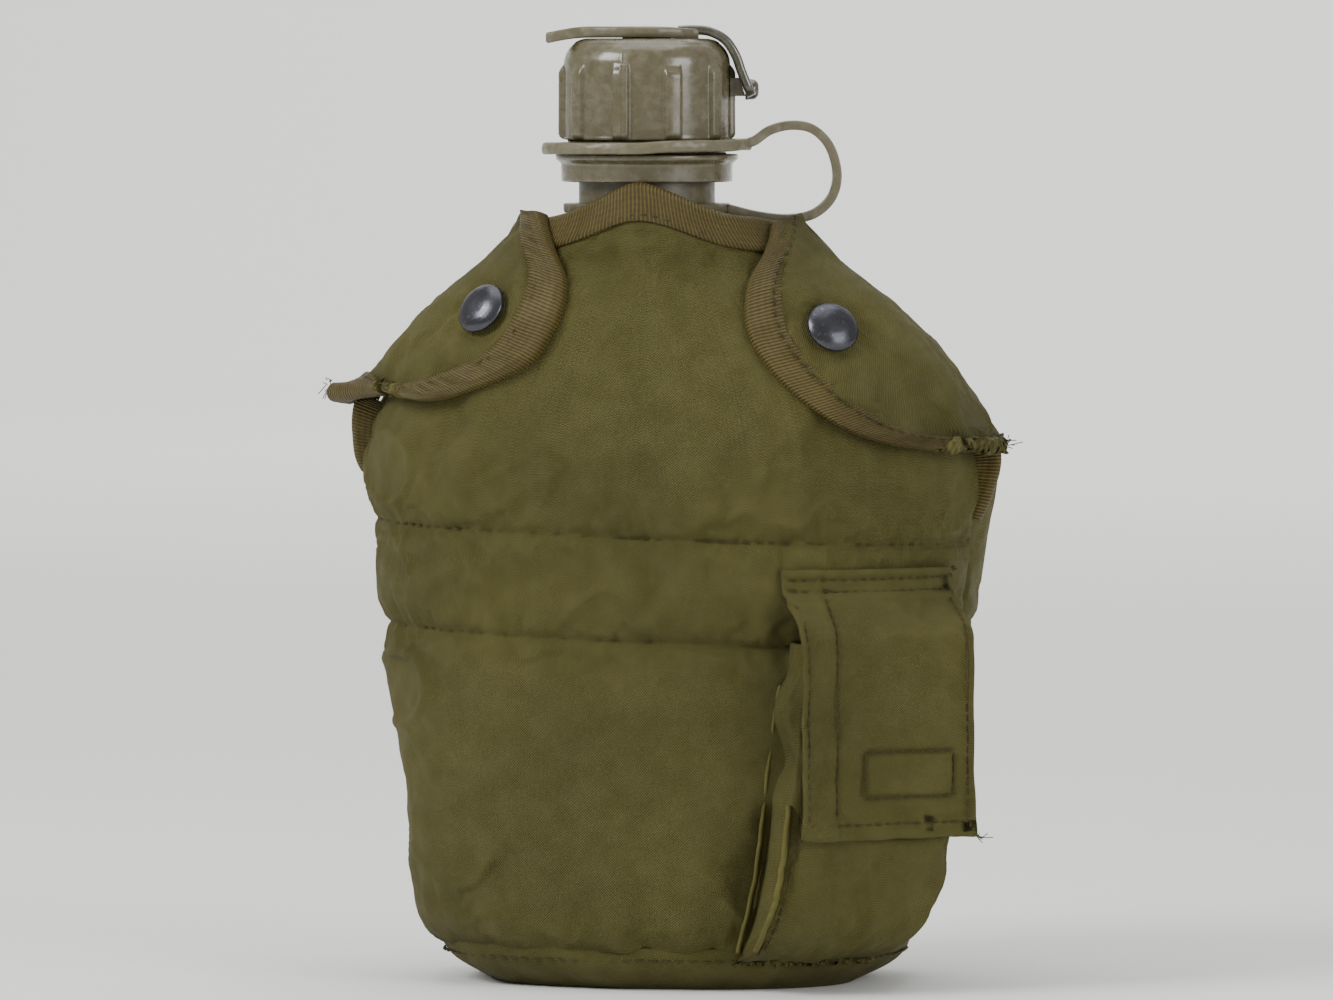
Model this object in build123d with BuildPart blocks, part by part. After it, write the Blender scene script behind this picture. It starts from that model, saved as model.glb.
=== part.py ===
"""One-quart field canteen in a padded nylon belt cover.

A kidney-shaped bottle stands in a lined fabric cover.  Its screw cap has a drinking port under a
snap-over dust cover, and hangs on a moulded strap.  Two snap flaps close the cover's shoulders, a
small flapped pocket sits on the right of the front, and two sliding belt clips are on the back.

Units are millimetres.  +Z is up, -Y is the front, and the neck's axis is the Z axis.
"""

import os
from functools import cache
from math import copysign, cos, pi, radians, sin

from build123d import *

# ---------------------------------------------------------------- driving dimensions
SECTION_POINTS = 28  # points of one kidney-shaped outline
BEND = 0.0015  # how much the kidney's ends curve back, in 1/mm
EDGE_STEPS = 12  # steps along a flap's free edge
HALF_SPACE = 300  # half size of the blocks that cut a solid in two

# Outer surface of the cover: height, half width, half depth, centre x, centre y, roundness power.
COVER_STATIONS = (
    (0, 44, 28, 5, 8, 2.6),
    (5, 53, 34.5, 5, 8, 2.7),
    (12, 58.5, 38, 5, 8, 2.8),
    (24, 62.5, 40.5, 5, 8, 2.8),
    (60, 66.5, 42, 5, 8, 2.8),
    (107, 72.5, 43.5, 5, 8, 2.8),
    (128, 75, 43, 5, 8, 2.8),
    (146, 68, 39, 5, 7.5, 2.6),
    (160, 55, 34, 4.5, 6, 2.4),
    (172, 39, 28.5, 4, 3.5, 2.2),
    (182, 29.5, 26, 3.5, 1, 2.1),
    (194, 26.5, 24.5, 3, 0, 2.0),
)
CLOTH = 1.2  # thickness of the nylon shell
LINING_OUT = 1.5  # the lining's two faces lie this deep below the cover's outer surface
LINING_IN = 3.6
LINING_FLOOR_Z = (1.6, 5.8)
LINING_TOP_Z = 170
BASE_SEAM_Z = 8  # the base panel meets the front and back panels here
SEAM_Y = 17  # the side seams' plane at the floor
SEAM_LEAN = 0.06  # how much that plane leans forward, per mm of height
REAR_EDGE_Z = 181  # top edge of the back panel
# Top edge of the front panel, as x and z, seen from the front: a hump in front of the neck.
COLLAR_EDGE = ((-36, 181), (-17, 184), (2.5, 191.2), (21, 184.5), (40, 180.5))
COLLAR_BAND = 8.5  # depth of the binding round the neck
BINDING_T = 0.9  # thickness of the binding tape

# Bottle, outer surface: the same six figures as the cover's stations.
BOTTLE_STATIONS = (
    (6, 36, 23, 0, 8, 2.4),
    (11, 44, 30, 0, 8, 2.5),
    (18, 49, 34, 0, 8, 2.6),
    (28, 51.5, 35.5, 0, 8, 2.7),
    (60, 54.5, 37, 0, 8, 2.8),
    (107, 61, 38, 0, 8, 2.8),
    (124, 62, 37.5, 0, 8, 2.7),
    (142, 57, 33.5, 0, 7.5, 2.5),
    (156, 45, 28, 0, 5.5, 2.3),
    (168, 29, 22.5, 0, 3, 2.1),
    (178, 20, 18.5, 0, 1, 2.0),
    (185, 17.5, 17.5, 0, 0, 2.0),
)
BOTTLE_WALL = 2.2
NECK_BOTTOM_Z = 182
NECK_R = 16.35
NECK_ROOT_R = 15.0  # neck under its thread
MOUTH_R = 12.7
NECK_STEP_Z = 199
RIM_Z = 218.9

# Cap
CAP_BOTTOM_Z = 192.5
CAP_TOP_Z = 226.8
CAP_BODY_R = 20.2
CAP_BORE_R = 17.6
CAP_SEAT_Z = 221  # the gasket sits under this face
CAP_SHOULDER_R = 6
SKIRT_R = 20.6
LIP_R = 21.9
LIP_Z = 198.2
GROOVE_R = 18.9
GROOVE_Z = (199.2, 202.6)
RIB_COUNT = 10
RIB_START = -99  # azimuth of the front rib
RIB_R = 2.6  # each rib is the proud part of a round bar this big
RIB_CREST_R = 21.1
RIB_TOP_Z = 220.3
THREAD_PITCH = 5.0
THREAD_TURNS = 1.1
THREAD_DEPTH = 1.9
THREAD_ROOT_W = 1.9
THREAD_CREST_W = 0.9
NECK_THREAD_Z = 204.5
GASKET_R = (12.9, 16.2)
GASKET_BOTTOM_Z = 219

# Drinking port in the cap's top
PORT_R = 6.5
PORT_STOP_Z = 219  # the hose stops on a shoulder here
SEAT_R = 6.0  # the well under that shoulder
WELL_R = 9.5
WELL_Z = (211.5, 213.5)  # bottom and floor of the port's cup
WELL_HOLE_R = 3.6
SEAL_R = 3
SEAL_Z = (214.7, 218.6)
PIN_R = 1.8
PIN_TOP_Z = 218.9
PIN_FLANGE_R = 5.5
PIN_VENTS = 4

# Dust cover on the cap; the leash and this cover's strap point to the same azimuth.
STRAP_AZIMUTH = 9
PLATE_Z = (227.1, 229.7)
PLATE_R = 12.5
TONGUE_REACH = 24.2
TONGUE_W = 11
PLUG_R = 6.0
PLUG_DEPTH = 0.25
STRAP_W = 12
STRAP_T = 1.6
STRAP_GAP = 0.4  # between the strap and the cap's shoulder
TAB = ((21.5, 219), (23.1, 219), (25.7, 212.2), (24.1, 211.8))
LUG = ((19, 217.4), (23, 217.4), (24.8, 213), (19, 213))
LUG_W = 6

# Cap leash
RING_R = (19.2, 25.4)
RING_Z = (199.5, 202.3)
NECK_RING_R = (16.7, 20.0)
NECK_RING_Z = (185.1, 187.3)
LEASH_T = 2.2
LEASH_W = 10
LEASH_GAP = 0.3  # between the leash and the ring that rises with the cap
LEASH_ROUTE = ((24, 200.9), (31, 205.9), (46, 205.9), (46, 184.1), (28, 184.1), (18.4, 186.2))
LEASH_RADII = (5, 10.4, 10.4, 4)

# Flaps
FLAP_IN = 3.8  # distance of the flap's two faces outside the cover
FLAP_OUT = 5.2
FLAP_BAND = 7.5  # width of the flap's edge binding
FOLD_Y = -10  # the flap bends in this plane
FOLD_GAP = 1.3  # half of the slit left there
ROOT_STRIP = 3  # depth of the strip that joins the flap's root to the back panel
# Free edge of each flap, from the neck to the side tip, as x and z seen from the front.
FLAP_EDGES = {
    "left": (
        (-21, 184), (-15.2, 166.6), (-20.5, 152), (-32, 144.5), (-48, 139.8), (-62, 140), (-84, 136.5),
    ),
    "right": (
        (30.3, 181), (27.3, 166.6), (29.3, 154.6), (40.7, 141), (55, 132), (72, 129), (94, 128),
    ),
}
FLAP_TOP_Z = {"left": 182, "right": 180.5}

# Snap fasteners: x and z of each, then radii and heights above the cover's surface.
SNAPS = {"left": (-33.9, 160), "right": (46, 156)}
STUD_FLANGE = (4.8, 0.1, 0.5)  # radius, bottom, top
STUD_BOSS = (2.6, 1.5)
SOCKET = (5.2, 2.9, 0.8, 1.8, 2.2)  # outer and inner radius, bottom, ceiling, top
DOME_R = 6.4
DOME_Z = (4.8, 7.0)
DOME_POST_R = 1.8
WASHER = (4.8, -2.4, -1.8)  # radius, bottom, top
BARREL_R = 1.5
SNAP_HOLE_R = 1.95
WASHER_HOLE_R = 5.4

# Pocket: its flap's outer face looks this far towards +X from the front.
POCKET_AZIMUTH = 31
POCKET_CENTRE = (63.2, -33.2)  # middle of the flap's outer face, at its lower edge
POCKET_LEAN = 0.5  # the flap's top leans back by this many degrees
# Outline of the pocket's front seen square on: across from the flap's middle, and height.
POCKET_OUTLINE = ((-19, 84), (-28, 8), (5, 8), (15, 22), (19, 84))
# The pocket's front seen from its side: depth behind its front plane, and height.
POCKET_PROFILE = ((0, 84), (0, 34), (6, 16), (18, 8), (40, 8), (40, 84))
POCKET_CLOTH = 1.2
POCKET_REACH = 32  # long enough to run into the cover all over
FLAP_SIZE = (46, 1.6)  # width and thickness of the pocket's flap
FLAP_BOTTOM = 37.7
FLAP_SHOULDER = 86.5  # above this height the flap slopes back to the cover
FLAP_HINGE = (8.5, 98)  # its bending line: depth behind the flap's front, and height
FLAP_ROOT = (99.2, 101)  # height of the strip sewn to the cover
PATCH = (23, 11, 1.0)  # width, height and thickness of each hook-and-loop patch
PATCH_AT = (4, 52)  # across and height of their middles
PATCH_GAP = 0.3
FRONT_DEPTH = FLAP_SIZE[1] + PATCH[2] + PATCH_GAP + PATCH[2]  # from the flap to the pocket's front

# Belt clips and the webbing that holds them
CLIP_X = {"left": -27, "right": 37}
CLIP_Z = (68, 136)
CLIP_W = 22
CLIP_T = 1.2
CLIP_Y = 53.4  # front face of the clip's plate
BELT_GAP = 8.6  # from the clip's plate to its slide
SLIDE_Y = CLIP_Y + CLIP_T + BELT_GAP  # front face of the slide
SLOT_GAP = 0.3
SLIDE_W = 13
SLIDE_TIP = 4  # bent finger tab at the slide's top
ARM_END = 2  # metal of the arms behind their slots
WEBBING_W = 28
WEBBING_T = 1.7
WEBBING_Z = (88, 113)

EYELET_R = (2.3, 2.8, 4.2)  # bore, barrel and flange
EYELET_Z = (0.5, 1.2, 1.5)  # bottom, flange's bottom and top
EYELET_AT = (5, 8)


# ---------------------------------------------------------------- helpers
def write(builder, label):
    """Labels a finished piece and writes its STEP file."""
    builder.part.label = label
    export_step(builder.part, f"parts/{label}.step")


def outline(a, b, cx, cy, power):
    """Points of one kidney-shaped section, bent back at its two ends."""
    points = []
    for i in range(SECTION_POINTS):
        angle = 2 * pi * i / SECTION_POINTS
        x = a * copysign(abs(cos(angle)) ** (2 / power), cos(angle))
        y = b * copysign(abs(sin(angle)) ** (2 / power), sin(angle))
        points.append((cx + x, cy + y + BEND * x * x))
    return points


@cache
def soft_body(stations, grow=0.0):
    """Closed solid through the stations, grown sideways."""
    with BuildPart() as body:
        for z, a, b, cx, cy, power in stations:
            with BuildSketch(Plane.XY.offset(z)):
                with BuildLine():
                    Spline(*outline(a + grow, b + grow, cx, cy, power), periodic=True)
                make_face()
        loft()
    return body.part


@cache
def cover_shell(outside, inside):
    """The layer between two surfaces grown from the cover's, both ends open."""
    with BuildPart() as layer:
        add(soft_body(COVER_STATIONS, outside))
        add(soft_body(COVER_STATIONS, inside), mode=Mode.SUBTRACT)
    return layer.part


def seam_plane(shift=0.0):
    """The leaning plane that holds the side seams; its normal points to the back."""
    return Plane(origin=(0, SEAM_Y + shift, 0), x_dir=(1, 0, 0), z_dir=(0, 1, SEAM_LEAN))


def block_along(plane, length):
    """A large block standing on a plane, along its normal."""
    with BuildPart() as block:
        with BuildSketch(plane):
            Rectangle(2 * HALF_SPACE, 2 * HALF_SPACE)
        extrude(amount=length)
    return block.part


def behind_seam(shift=0.0):
    return block_along(seam_plane(shift), HALF_SPACE)


def before_seam(shift=0.0):
    return block_along(seam_plane(shift), -HALF_SPACE)


def slab(z_low, z_high):
    """A wide level block between two heights."""
    return block_along(Plane.XY.offset(z_low), z_high - z_low)


def cross_wall(y_low, y_high):
    """A large block between two planes that face the front."""
    return block_along(Plane.XZ.offset(-y_high), y_high - y_low)


def under_collar_edge(drop=0.0):
    """Everything under the front panel's top edge, lowered by a drop."""
    far = HALF_SPACE
    with BuildPart() as block:
        with BuildSketch(Plane.XZ):
            with BuildLine():
                edge = Spline(*[(x, z - drop) for x, z in COLLAR_EDGE])
                corners = ((far, (edge @ 1).Y), (far, -far), (-far, -far), (-far, (edge @ 0).Y))
                Polyline(edge @ 1, *corners, edge @ 0)
            make_face()
        extrude(amount=HALF_SPACE, both=True)
    return block.part


def radial_plane():
    """Plane through the neck's axis: its x runs out at the strap's azimuth and its y is up."""
    a = radians(STRAP_AZIMUTH)
    return Plane(origin=(0, 0, 0), x_dir=(cos(a), sin(a), 0), z_dir=(sin(a), -cos(a), 0))


def pocket_plane(depth=0.0):
    """Plane square to the pocket's flap, a depth inside its outer face; its y runs up the flap."""
    a = radians(POCKET_AZIMUTH)
    lean = radians(POCKET_LEAN)
    across = Vector(cos(a), sin(a), 0)
    outward = Vector(sin(a) * cos(lean), -cos(a) * cos(lean), sin(lean))
    foot = Vector(*POCKET_CENTRE, FLAP_BOTTOM) - outward.cross(across) * FLAP_BOTTOM
    return Plane(origin=foot - outward * depth, x_dir=across, z_dir=outward)


def pocket_side_plane(depth=0.0):
    """Plane across the pocket, edge on: its x runs into the cover and its y runs up the flap."""
    front = pocket_plane(depth)
    return Plane(origin=front.origin, x_dir=-front.z_dir, z_dir=front.x_dir)


def snap_plane(side):
    """Plane touching the cover's outer surface at a snap, looking outwards."""
    x, z = SNAPS[side]
    surface = soft_body(COVER_STATIONS)
    point, normal = surface.find_intersection_points(Axis((x, -HALF_SPACE, z), (0, 1, 0)))[0]
    return Plane(origin=point, z_dir=normal)


def disc(plane, radius, low, high):
    """A round disc about a plane's normal, between two heights above it."""
    with BuildPart() as made:
        with BuildSketch(plane.offset(low)):
            Circle(radius)
        extrude(amount=high - low)
    return made.part


def ring(outer, inner, z_low, z_high):
    """A plain round ring about the neck's axis."""
    with BuildPart() as made:
        with BuildSketch(Plane.XY.offset(z_low)):
            Circle(outer)
            Circle(inner, mode=Mode.SUBTRACT)
        extrude(amount=z_high - z_low)
    return made


# ---------------------------------------------------------------- bottle and cap
def thread(radius, z, inward):
    """One helical thread ridge whose root bites a little into its wall."""
    bite = 0.25
    crest = radius - THREAD_DEPTH if inward else radius + THREAD_DEPTH
    root = radius + bite if inward else radius - bite
    half_root = THREAD_ROOT_W / 2
    half_crest = THREAD_CREST_W / 2
    helix = Helix(THREAD_PITCH, THREAD_PITCH * THREAD_TURNS, radius, center=(0, 0, z))
    with BuildPart() as ridge:
        with BuildSketch(Plane.XZ):
            with BuildLine():
                Polyline(
                    (root, z - half_root),
                    (crest, z - half_crest),
                    (crest, z + half_crest),
                    (root, z + half_root),
                    close=True,
                )
            make_face()
        sweep(path=helix, is_frenet=True)
    return ridge.part


def bottle():
    """Blow-moulded bottle with its threaded neck."""
    inside = []
    for i, (z, a, b, cx, cy, power) in enumerate(BOTTLE_STATIONS):
        rise = BOTTLE_WALL if i < len(BOTTLE_STATIONS) // 3 else 0
        inside.append((z + rise, a - BOTTLE_WALL, b - BOTTLE_WALL, cx, cy, power))
    with BuildPart() as body:
        add(soft_body(BOTTLE_STATIONS))
        with BuildSketch(Plane.XZ):
            with BuildLine():
                Polyline(
                    (0, NECK_BOTTOM_Z),
                    (NECK_R, NECK_BOTTOM_Z),
                    (NECK_R, NECK_STEP_Z),
                    (NECK_ROOT_R, NECK_STEP_Z + 1.5),
                    (NECK_ROOT_R, RIM_Z),
                    (0, RIM_Z),
                    close=True,
                )
            make_face()
        revolve(axis=Axis.Z)
        add(thread(NECK_ROOT_R, NECK_THREAD_Z, inward=False))
        add(soft_body(tuple(inside)), mode=Mode.SUBTRACT)
        add(disc(Plane.XY, MOUTH_R, BOTTLE_STATIONS[-2][0], RIM_Z), mode=Mode.SUBTRACT)
    return body


def cap_body():
    """Ribbed screw cap with a groove for its leash and a hole for the drinking port's cup."""
    shoulder_z = CAP_TOP_Z - CAP_SHOULDER_R
    flat_r = CAP_BODY_R - CAP_SHOULDER_R
    with BuildPart() as cap:
        with BuildSketch(Plane.XZ):
            with BuildLine():
                Polyline(
                    (flat_r, CAP_TOP_Z),
                    (0, CAP_TOP_Z),
                    (0, CAP_BOTTOM_Z),
                    (SKIRT_R, CAP_BOTTOM_Z),
                    (SKIRT_R, LIP_Z - 0.9),
                    (LIP_R, LIP_Z),
                    (LIP_R, GROOVE_Z[0]),
                    (GROOVE_R, GROOVE_Z[0]),
                    (GROOVE_R, GROOVE_Z[1]),
                    (CAP_BODY_R, GROOVE_Z[1]),
                    (CAP_BODY_R, shoulder_z),
                )
                RadiusArc((CAP_BODY_R, shoulder_z), (flat_r, CAP_TOP_Z), -CAP_SHOULDER_R)
            make_face()
        revolve(axis=Axis.Z)
        with BuildSketch(Plane.XY.offset(GROOVE_Z[1])):
            with PolarLocations(RIB_CREST_R - RIB_R, RIB_COUNT, start_angle=RIB_START):
                Circle(RIB_R)
        extrude(amount=RIB_TOP_Z - GROOVE_Z[1])
        add(disc(Plane.XY, CAP_BORE_R, CAP_BOTTOM_Z, CAP_SEAT_Z), mode=Mode.SUBTRACT)
        add(disc(Plane.XY, WELL_R, CAP_SEAT_Z, CAP_TOP_Z), mode=Mode.SUBTRACT)
        add(thread(CAP_BORE_R, NECK_THREAD_Z - THREAD_PITCH / 2, inward=True))
    return cap


def port_cup():
    """Cup pressed into the cap's top that forms the drinking port."""
    with BuildPart() as cup:
        add(disc(Plane.XY, WELL_R, WELL_Z[0], CAP_TOP_Z))
        add(disc(Plane.XY, PORT_R, PORT_STOP_Z, CAP_TOP_Z), mode=Mode.SUBTRACT)
        add(disc(Plane.XY, SEAT_R, WELL_Z[1], PORT_STOP_Z), mode=Mode.SUBTRACT)
        add(disc(Plane.XY, WELL_HOLE_R, WELL_Z[0], WELL_Z[1]), mode=Mode.SUBTRACT)
    return cup


def probe_pin():
    """Valve pin that stands in the port on a vented flange."""
    with BuildPart() as pin:
        add(disc(Plane.XY, PIN_FLANGE_R, WELL_Z[1], SEAL_Z[0]))
        add(disc(Plane.XY, PIN_R, SEAL_Z[0], PIN_TOP_Z))
        with BuildSketch(Plane.XY.offset(WELL_Z[1])):
            with PolarLocations((PIN_R + WELL_HOLE_R) / 2, PIN_VENTS):
                Circle(0.7)
        extrude(amount=SEAL_Z[0] - WELL_Z[1], mode=Mode.SUBTRACT)
    return pin


def dust_cover():
    """Flat cover with a pull tongue, a raised disc over the port and a strap over the shoulder."""
    plane = radial_plane()
    centre = (CAP_BODY_R - CAP_SHOULDER_R, CAP_TOP_Z - CAP_SHOULDER_R)
    inner = CAP_SHOULDER_R + STRAP_GAP
    outer = inner + STRAP_T
    end = 3  # angle at which the moving part of the strap stops, in degrees above level
    with BuildPart() as cover:
        with BuildSketch(Plane.XY.offset(PLATE_Z[0]).rotated((0, 0, STRAP_AZIMUTH))):
            RegularPolygon(PLATE_R, 8, rotation=22.5)
            with Locations((-TONGUE_REACH / 2, 0)):
                Rectangle(TONGUE_REACH, TONGUE_W)
            with Locations((centre[0] / 2, 0)):
                Rectangle(centre[0], STRAP_W)
        extrude(amount=PLATE_Z[1] - PLATE_Z[0])
        with BuildSketch(plane):
            with BuildLine():
                over = CenterArc(centre, outer, end, 90 - end)
                under = CenterArc(centre, inner, end, 90 - end)
                Line(over @ 0, under @ 0)
                Polyline(over @ 1, (8, (over @ 1).Y), (8, (under @ 1).Y), under @ 1)
            make_face()
        extrude(amount=STRAP_W / 2, both=True)
        add(disc(Plane.XY, PLUG_R, PLATE_Z[0] - PLUG_DEPTH, PLATE_Z[0]))
    return cover


def radial_bar(points, width):
    """A bar across the strap's radial plane, with its outline given in that plane."""
    with BuildPart() as bar:
        with BuildSketch(radial_plane()):
            with BuildLine():
                Polyline(*points, close=True)
            make_face()
        extrude(amount=width / 2, both=True)
    return bar


def cover_lug(tab, cap):
    """Lug that holds the strap's end on the cap's side."""
    with BuildPart() as lug:
        add(radial_bar(LUG, LUG_W).part)
        add(tab.part, mode=Mode.SUBTRACT)
        add(cap.part, mode=Mode.SUBTRACT)
        add(disc(Plane.XY, CAP_BODY_R, CAP_BOTTOM_Z, CAP_TOP_Z), mode=Mode.SUBTRACT)
    return lug


def strap_loop():
    """The leash's free loop, from the ring under the cap down to the ring on the neck."""
    plane = radial_plane()
    with BuildPart() as loop:
        with BuildLine(plane) as route:
            FilletPolyline(*LEASH_ROUTE, radius=LEASH_RADII)
        path = route.wires()[0]
        with BuildSketch(Plane(origin=path @ 0, x_dir=plane.z_dir, z_dir=path % 0)):
            Rectangle(LEASH_W, LEASH_T)
        sweep(path=path)
        upper = RING_R[1] + LEASH_GAP
        add(disc(Plane.XY, upper, RING_Z[0] - 5, RING_Z[1] + 5), mode=Mode.SUBTRACT)
        add(disc(Plane.XY, NECK_RING_R[1], NECK_RING_Z[0] - 5, RING_Z[0] - 5), mode=Mode.SUBTRACT)
    return loop


# ---------------------------------------------------------------- cover
def snap_holes(radius, low, high):
    """Bars that drill through the cover at its two snaps."""
    with BuildPart() as bars:
        for side in SNAPS:
            add(disc(snap_plane(side), radius, low, high))
    return bars.part


def panel_shell():
    """The cover's whole nylon skin, with a floor and an open top."""
    with BuildPart() as skin:
        add(soft_body(COVER_STATIONS))
        with BuildPart(mode=Mode.PRIVATE) as hollow:
            add(soft_body(COVER_STATIONS, -CLOTH))
            add(slab(CLOTH, COVER_STATIONS[-1][0]), mode=Mode.INTERSECT)
        add(hollow.part, mode=Mode.SUBTRACT)
    return skin.part


def cover_front(skin):
    """Front panel, humped in front of the neck."""
    with BuildPart() as front:
        add(skin)
        add(before_seam(), mode=Mode.INTERSECT)
        add(slab(BASE_SEAM_Z, COVER_STATIONS[-1][0]), mode=Mode.INTERSECT)
        add(under_collar_edge(), mode=Mode.INTERSECT)
        add(snap_holes(SNAP_HOLE_R, -10, 10), mode=Mode.SUBTRACT)
    return front


def flap_edge_points(side, inset):
    """Points along a flap's free edge, moved into the flap by an inset."""
    with BuildLine():
        edge = Spline(*FLAP_EDGES[side])
    into_flap = 1 if side == "right" else -1
    points = []
    for i in range(EDGE_STEPS + 1):
        point = edge @ (i / EDGE_STEPS)
        along = edge % (i / EDGE_STEPS)
        points.append((point.X - into_flap * inset * along.Y, point.Y + into_flap * inset * along.X))
    return points


@cache
def flap_region(side, inset=0.0):
    """A block over the flap: everything above its free edge, less an inset along that edge."""
    points = flap_edge_points(side, inset)
    far = copysign(HALF_SPACE, points[-1][0])
    with BuildPart() as block:
        with BuildSketch(Plane.XZ):
            with BuildLine():
                edge = Spline(*points)
                corners = ((far, points[-1][1]), (far, HALF_SPACE), (points[0][0], HALF_SPACE))
                Polyline(edge @ 1, *corners, edge @ 0)
            make_face()
        extrude(amount=HALF_SPACE, both=True)
    return block.part


def flap_root(side):
    """The fixed part of a flap, beside the bottle's shoulder."""
    with BuildPart() as root:
        add(cover_shell(FLAP_OUT, FLAP_IN))
        add(cross_wall(FOLD_Y + FOLD_GAP, HALF_SPACE), mode=Mode.INTERSECT)
        add(before_seam(ROOT_STRIP), mode=Mode.INTERSECT)
        add(flap_region(side), mode=Mode.INTERSECT)
        add(slab(0, FLAP_TOP_Z[side]), mode=Mode.INTERSECT)
    return root.part


def flap_strip(side):
    """The strip that joins a flap's root to the back panel."""
    bite = 0.2
    with BuildPart() as strip:
        add(cover_shell(FLAP_OUT - bite, -CLOTH / 2))
        add(behind_seam(), mode=Mode.INTERSECT)
        add(before_seam(ROOT_STRIP), mode=Mode.INTERSECT)
        add(flap_region(side), mode=Mode.INTERSECT)
        add(slab(0, REAR_EDGE_Z - bite), mode=Mode.INTERSECT)
    return strip.part


def cover_back(skin):
    """Back panel with the roots of both flaps."""
    with BuildPart() as back:
        add(skin)
        add(behind_seam(), mode=Mode.INTERSECT)
        add(slab(BASE_SEAM_Z, REAR_EDGE_Z), mode=Mode.INTERSECT)
        for side in FLAP_EDGES:
            add(flap_strip(side))
            add(flap_root(side))
    return back


def base_panel(skin):
    """Cup-shaped base panel with its drain hole."""
    with BuildPart() as base:
        add(skin)
        add(slab(0, BASE_SEAM_Z), mode=Mode.INTERSECT)
        with Locations((*EYELET_AT, 0)):
            Cylinder(EYELET_R[1], 3 * CLOTH, mode=Mode.SUBTRACT)
    return base


def drain_eyelet():
    """Brass eyelet in the base."""
    with BuildPart() as eyelet:
        with BuildSketch(Plane.XY.offset(EYELET_Z[0])):
            with Locations(EYELET_AT):
                Circle(EYELET_R[1])
        extrude(amount=EYELET_Z[2] - EYELET_Z[0])
        with BuildSketch(Plane.XY.offset(EYELET_Z[1])):
            with Locations(EYELET_AT):
                Circle(EYELET_R[2])
        extrude(amount=EYELET_Z[2] - EYELET_Z[1])
        with Locations((*EYELET_AT, 0)):
            Cylinder(EYELET_R[0], 3 * CLOTH, mode=Mode.SUBTRACT)
    return eyelet


def lining(half):
    """One half of the pile lining; the seam plane parts the two halves."""
    with BuildPart() as hollow:
        add(soft_body(COVER_STATIONS, -LINING_IN))
        add(slab(LINING_FLOOR_Z[1], COVER_STATIONS[-1][0]), mode=Mode.INTERSECT)
    with BuildPart() as made:
        add(soft_body(COVER_STATIONS, -LINING_OUT))
        add(slab(LINING_FLOOR_Z[0], LINING_TOP_Z), mode=Mode.INTERSECT)
        add(hollow.part, mode=Mode.SUBTRACT)
        add(half, mode=Mode.INTERSECT)
        add(snap_holes(WASHER_HOLE_R, -10, 10), mode=Mode.SUBTRACT)
        with Locations((*EYELET_AT, 0)):
            Cylinder(EYELET_R[1], 3 * LINING_FLOOR_Z[1], mode=Mode.SUBTRACT)
    return made


def collar_binding_front(front):
    """Tape folded over the front panel's top edge."""
    with BuildPart() as band:
        add(cover_shell(BINDING_T, -CLOTH - BINDING_T))
        add(before_seam(), mode=Mode.INTERSECT)
        add(under_collar_edge(-BINDING_T), mode=Mode.INTERSECT)
        add(under_collar_edge(COLLAR_BAND), mode=Mode.SUBTRACT)
        add(front.part, mode=Mode.SUBTRACT)
    return band


def collar_binding_back(back):
    """Tape folded over the back panel's top edge."""
    with BuildPart() as band:
        add(cover_shell(BINDING_T, -CLOTH - BINDING_T))
        add(behind_seam(ROOT_STRIP + 0.3), mode=Mode.INTERSECT)
        add(slab(REAR_EDGE_Z - COLLAR_BAND, REAR_EDGE_Z + BINDING_T), mode=Mode.INTERSECT)
        add(back.part, mode=Mode.SUBTRACT)
    return band


def flap(side):
    """The moving part of a flap, drilled for its snap."""
    with BuildPart() as cloth:
        add(cover_shell(FLAP_OUT, FLAP_IN))
        add(cross_wall(-HALF_SPACE, FOLD_Y - FOLD_GAP), mode=Mode.INTERSECT)
        add(flap_region(side), mode=Mode.INTERSECT)
        add(slab(0, FLAP_TOP_Z[side]), mode=Mode.INTERSECT)
        add(disc(snap_plane(side), SNAP_HOLE_R, -1, 20), mode=Mode.SUBTRACT)
    return cloth


def flap_binding(side, cloth):
    """Tape folded over a flap's free edge."""
    with BuildPart() as band:
        add(cover_shell(FLAP_OUT + BINDING_T, FLAP_IN - BINDING_T))
        add(cross_wall(-HALF_SPACE, FOLD_Y - FOLD_GAP), mode=Mode.INTERSECT)
        add(flap_region(side, -BINDING_T), mode=Mode.INTERSECT)
        add(flap_region(side, FLAP_BAND), mode=Mode.SUBTRACT)
        add(slab(0, FLAP_TOP_Z[side]), mode=Mode.INTERSECT)
        add(cloth.part, mode=Mode.SUBTRACT)
    return band


# ---------------------------------------------------------------- snaps
def snap_stud(side):
    """Stud on the front panel."""
    plane = snap_plane(side)
    radius, low, high = STUD_FLANGE
    with BuildPart() as stud:
        add(disc(plane, radius, low, high))
        add(disc(plane, STUD_BOSS[0], high, STUD_BOSS[1]))
    return stud


def snap_post(side):
    """Washer and barrel that clamp the stud from inside the panel."""
    plane = snap_plane(side)
    radius, low, high = WASHER
    with BuildPart() as post:
        add(disc(plane, radius, low, high))
        add(disc(plane, BARREL_R, high, STUD_FLANGE[1]))
    return post


def snap_socket(side):
    """Socket under the flap, which the stud springs into."""
    plane = snap_plane(side)
    outer, inner, low, ceiling, high = SOCKET
    with BuildPart() as socket:
        add(disc(plane, outer, low, high))
        add(disc(plane, inner, low, ceiling), mode=Mode.SUBTRACT)
    return socket


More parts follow.
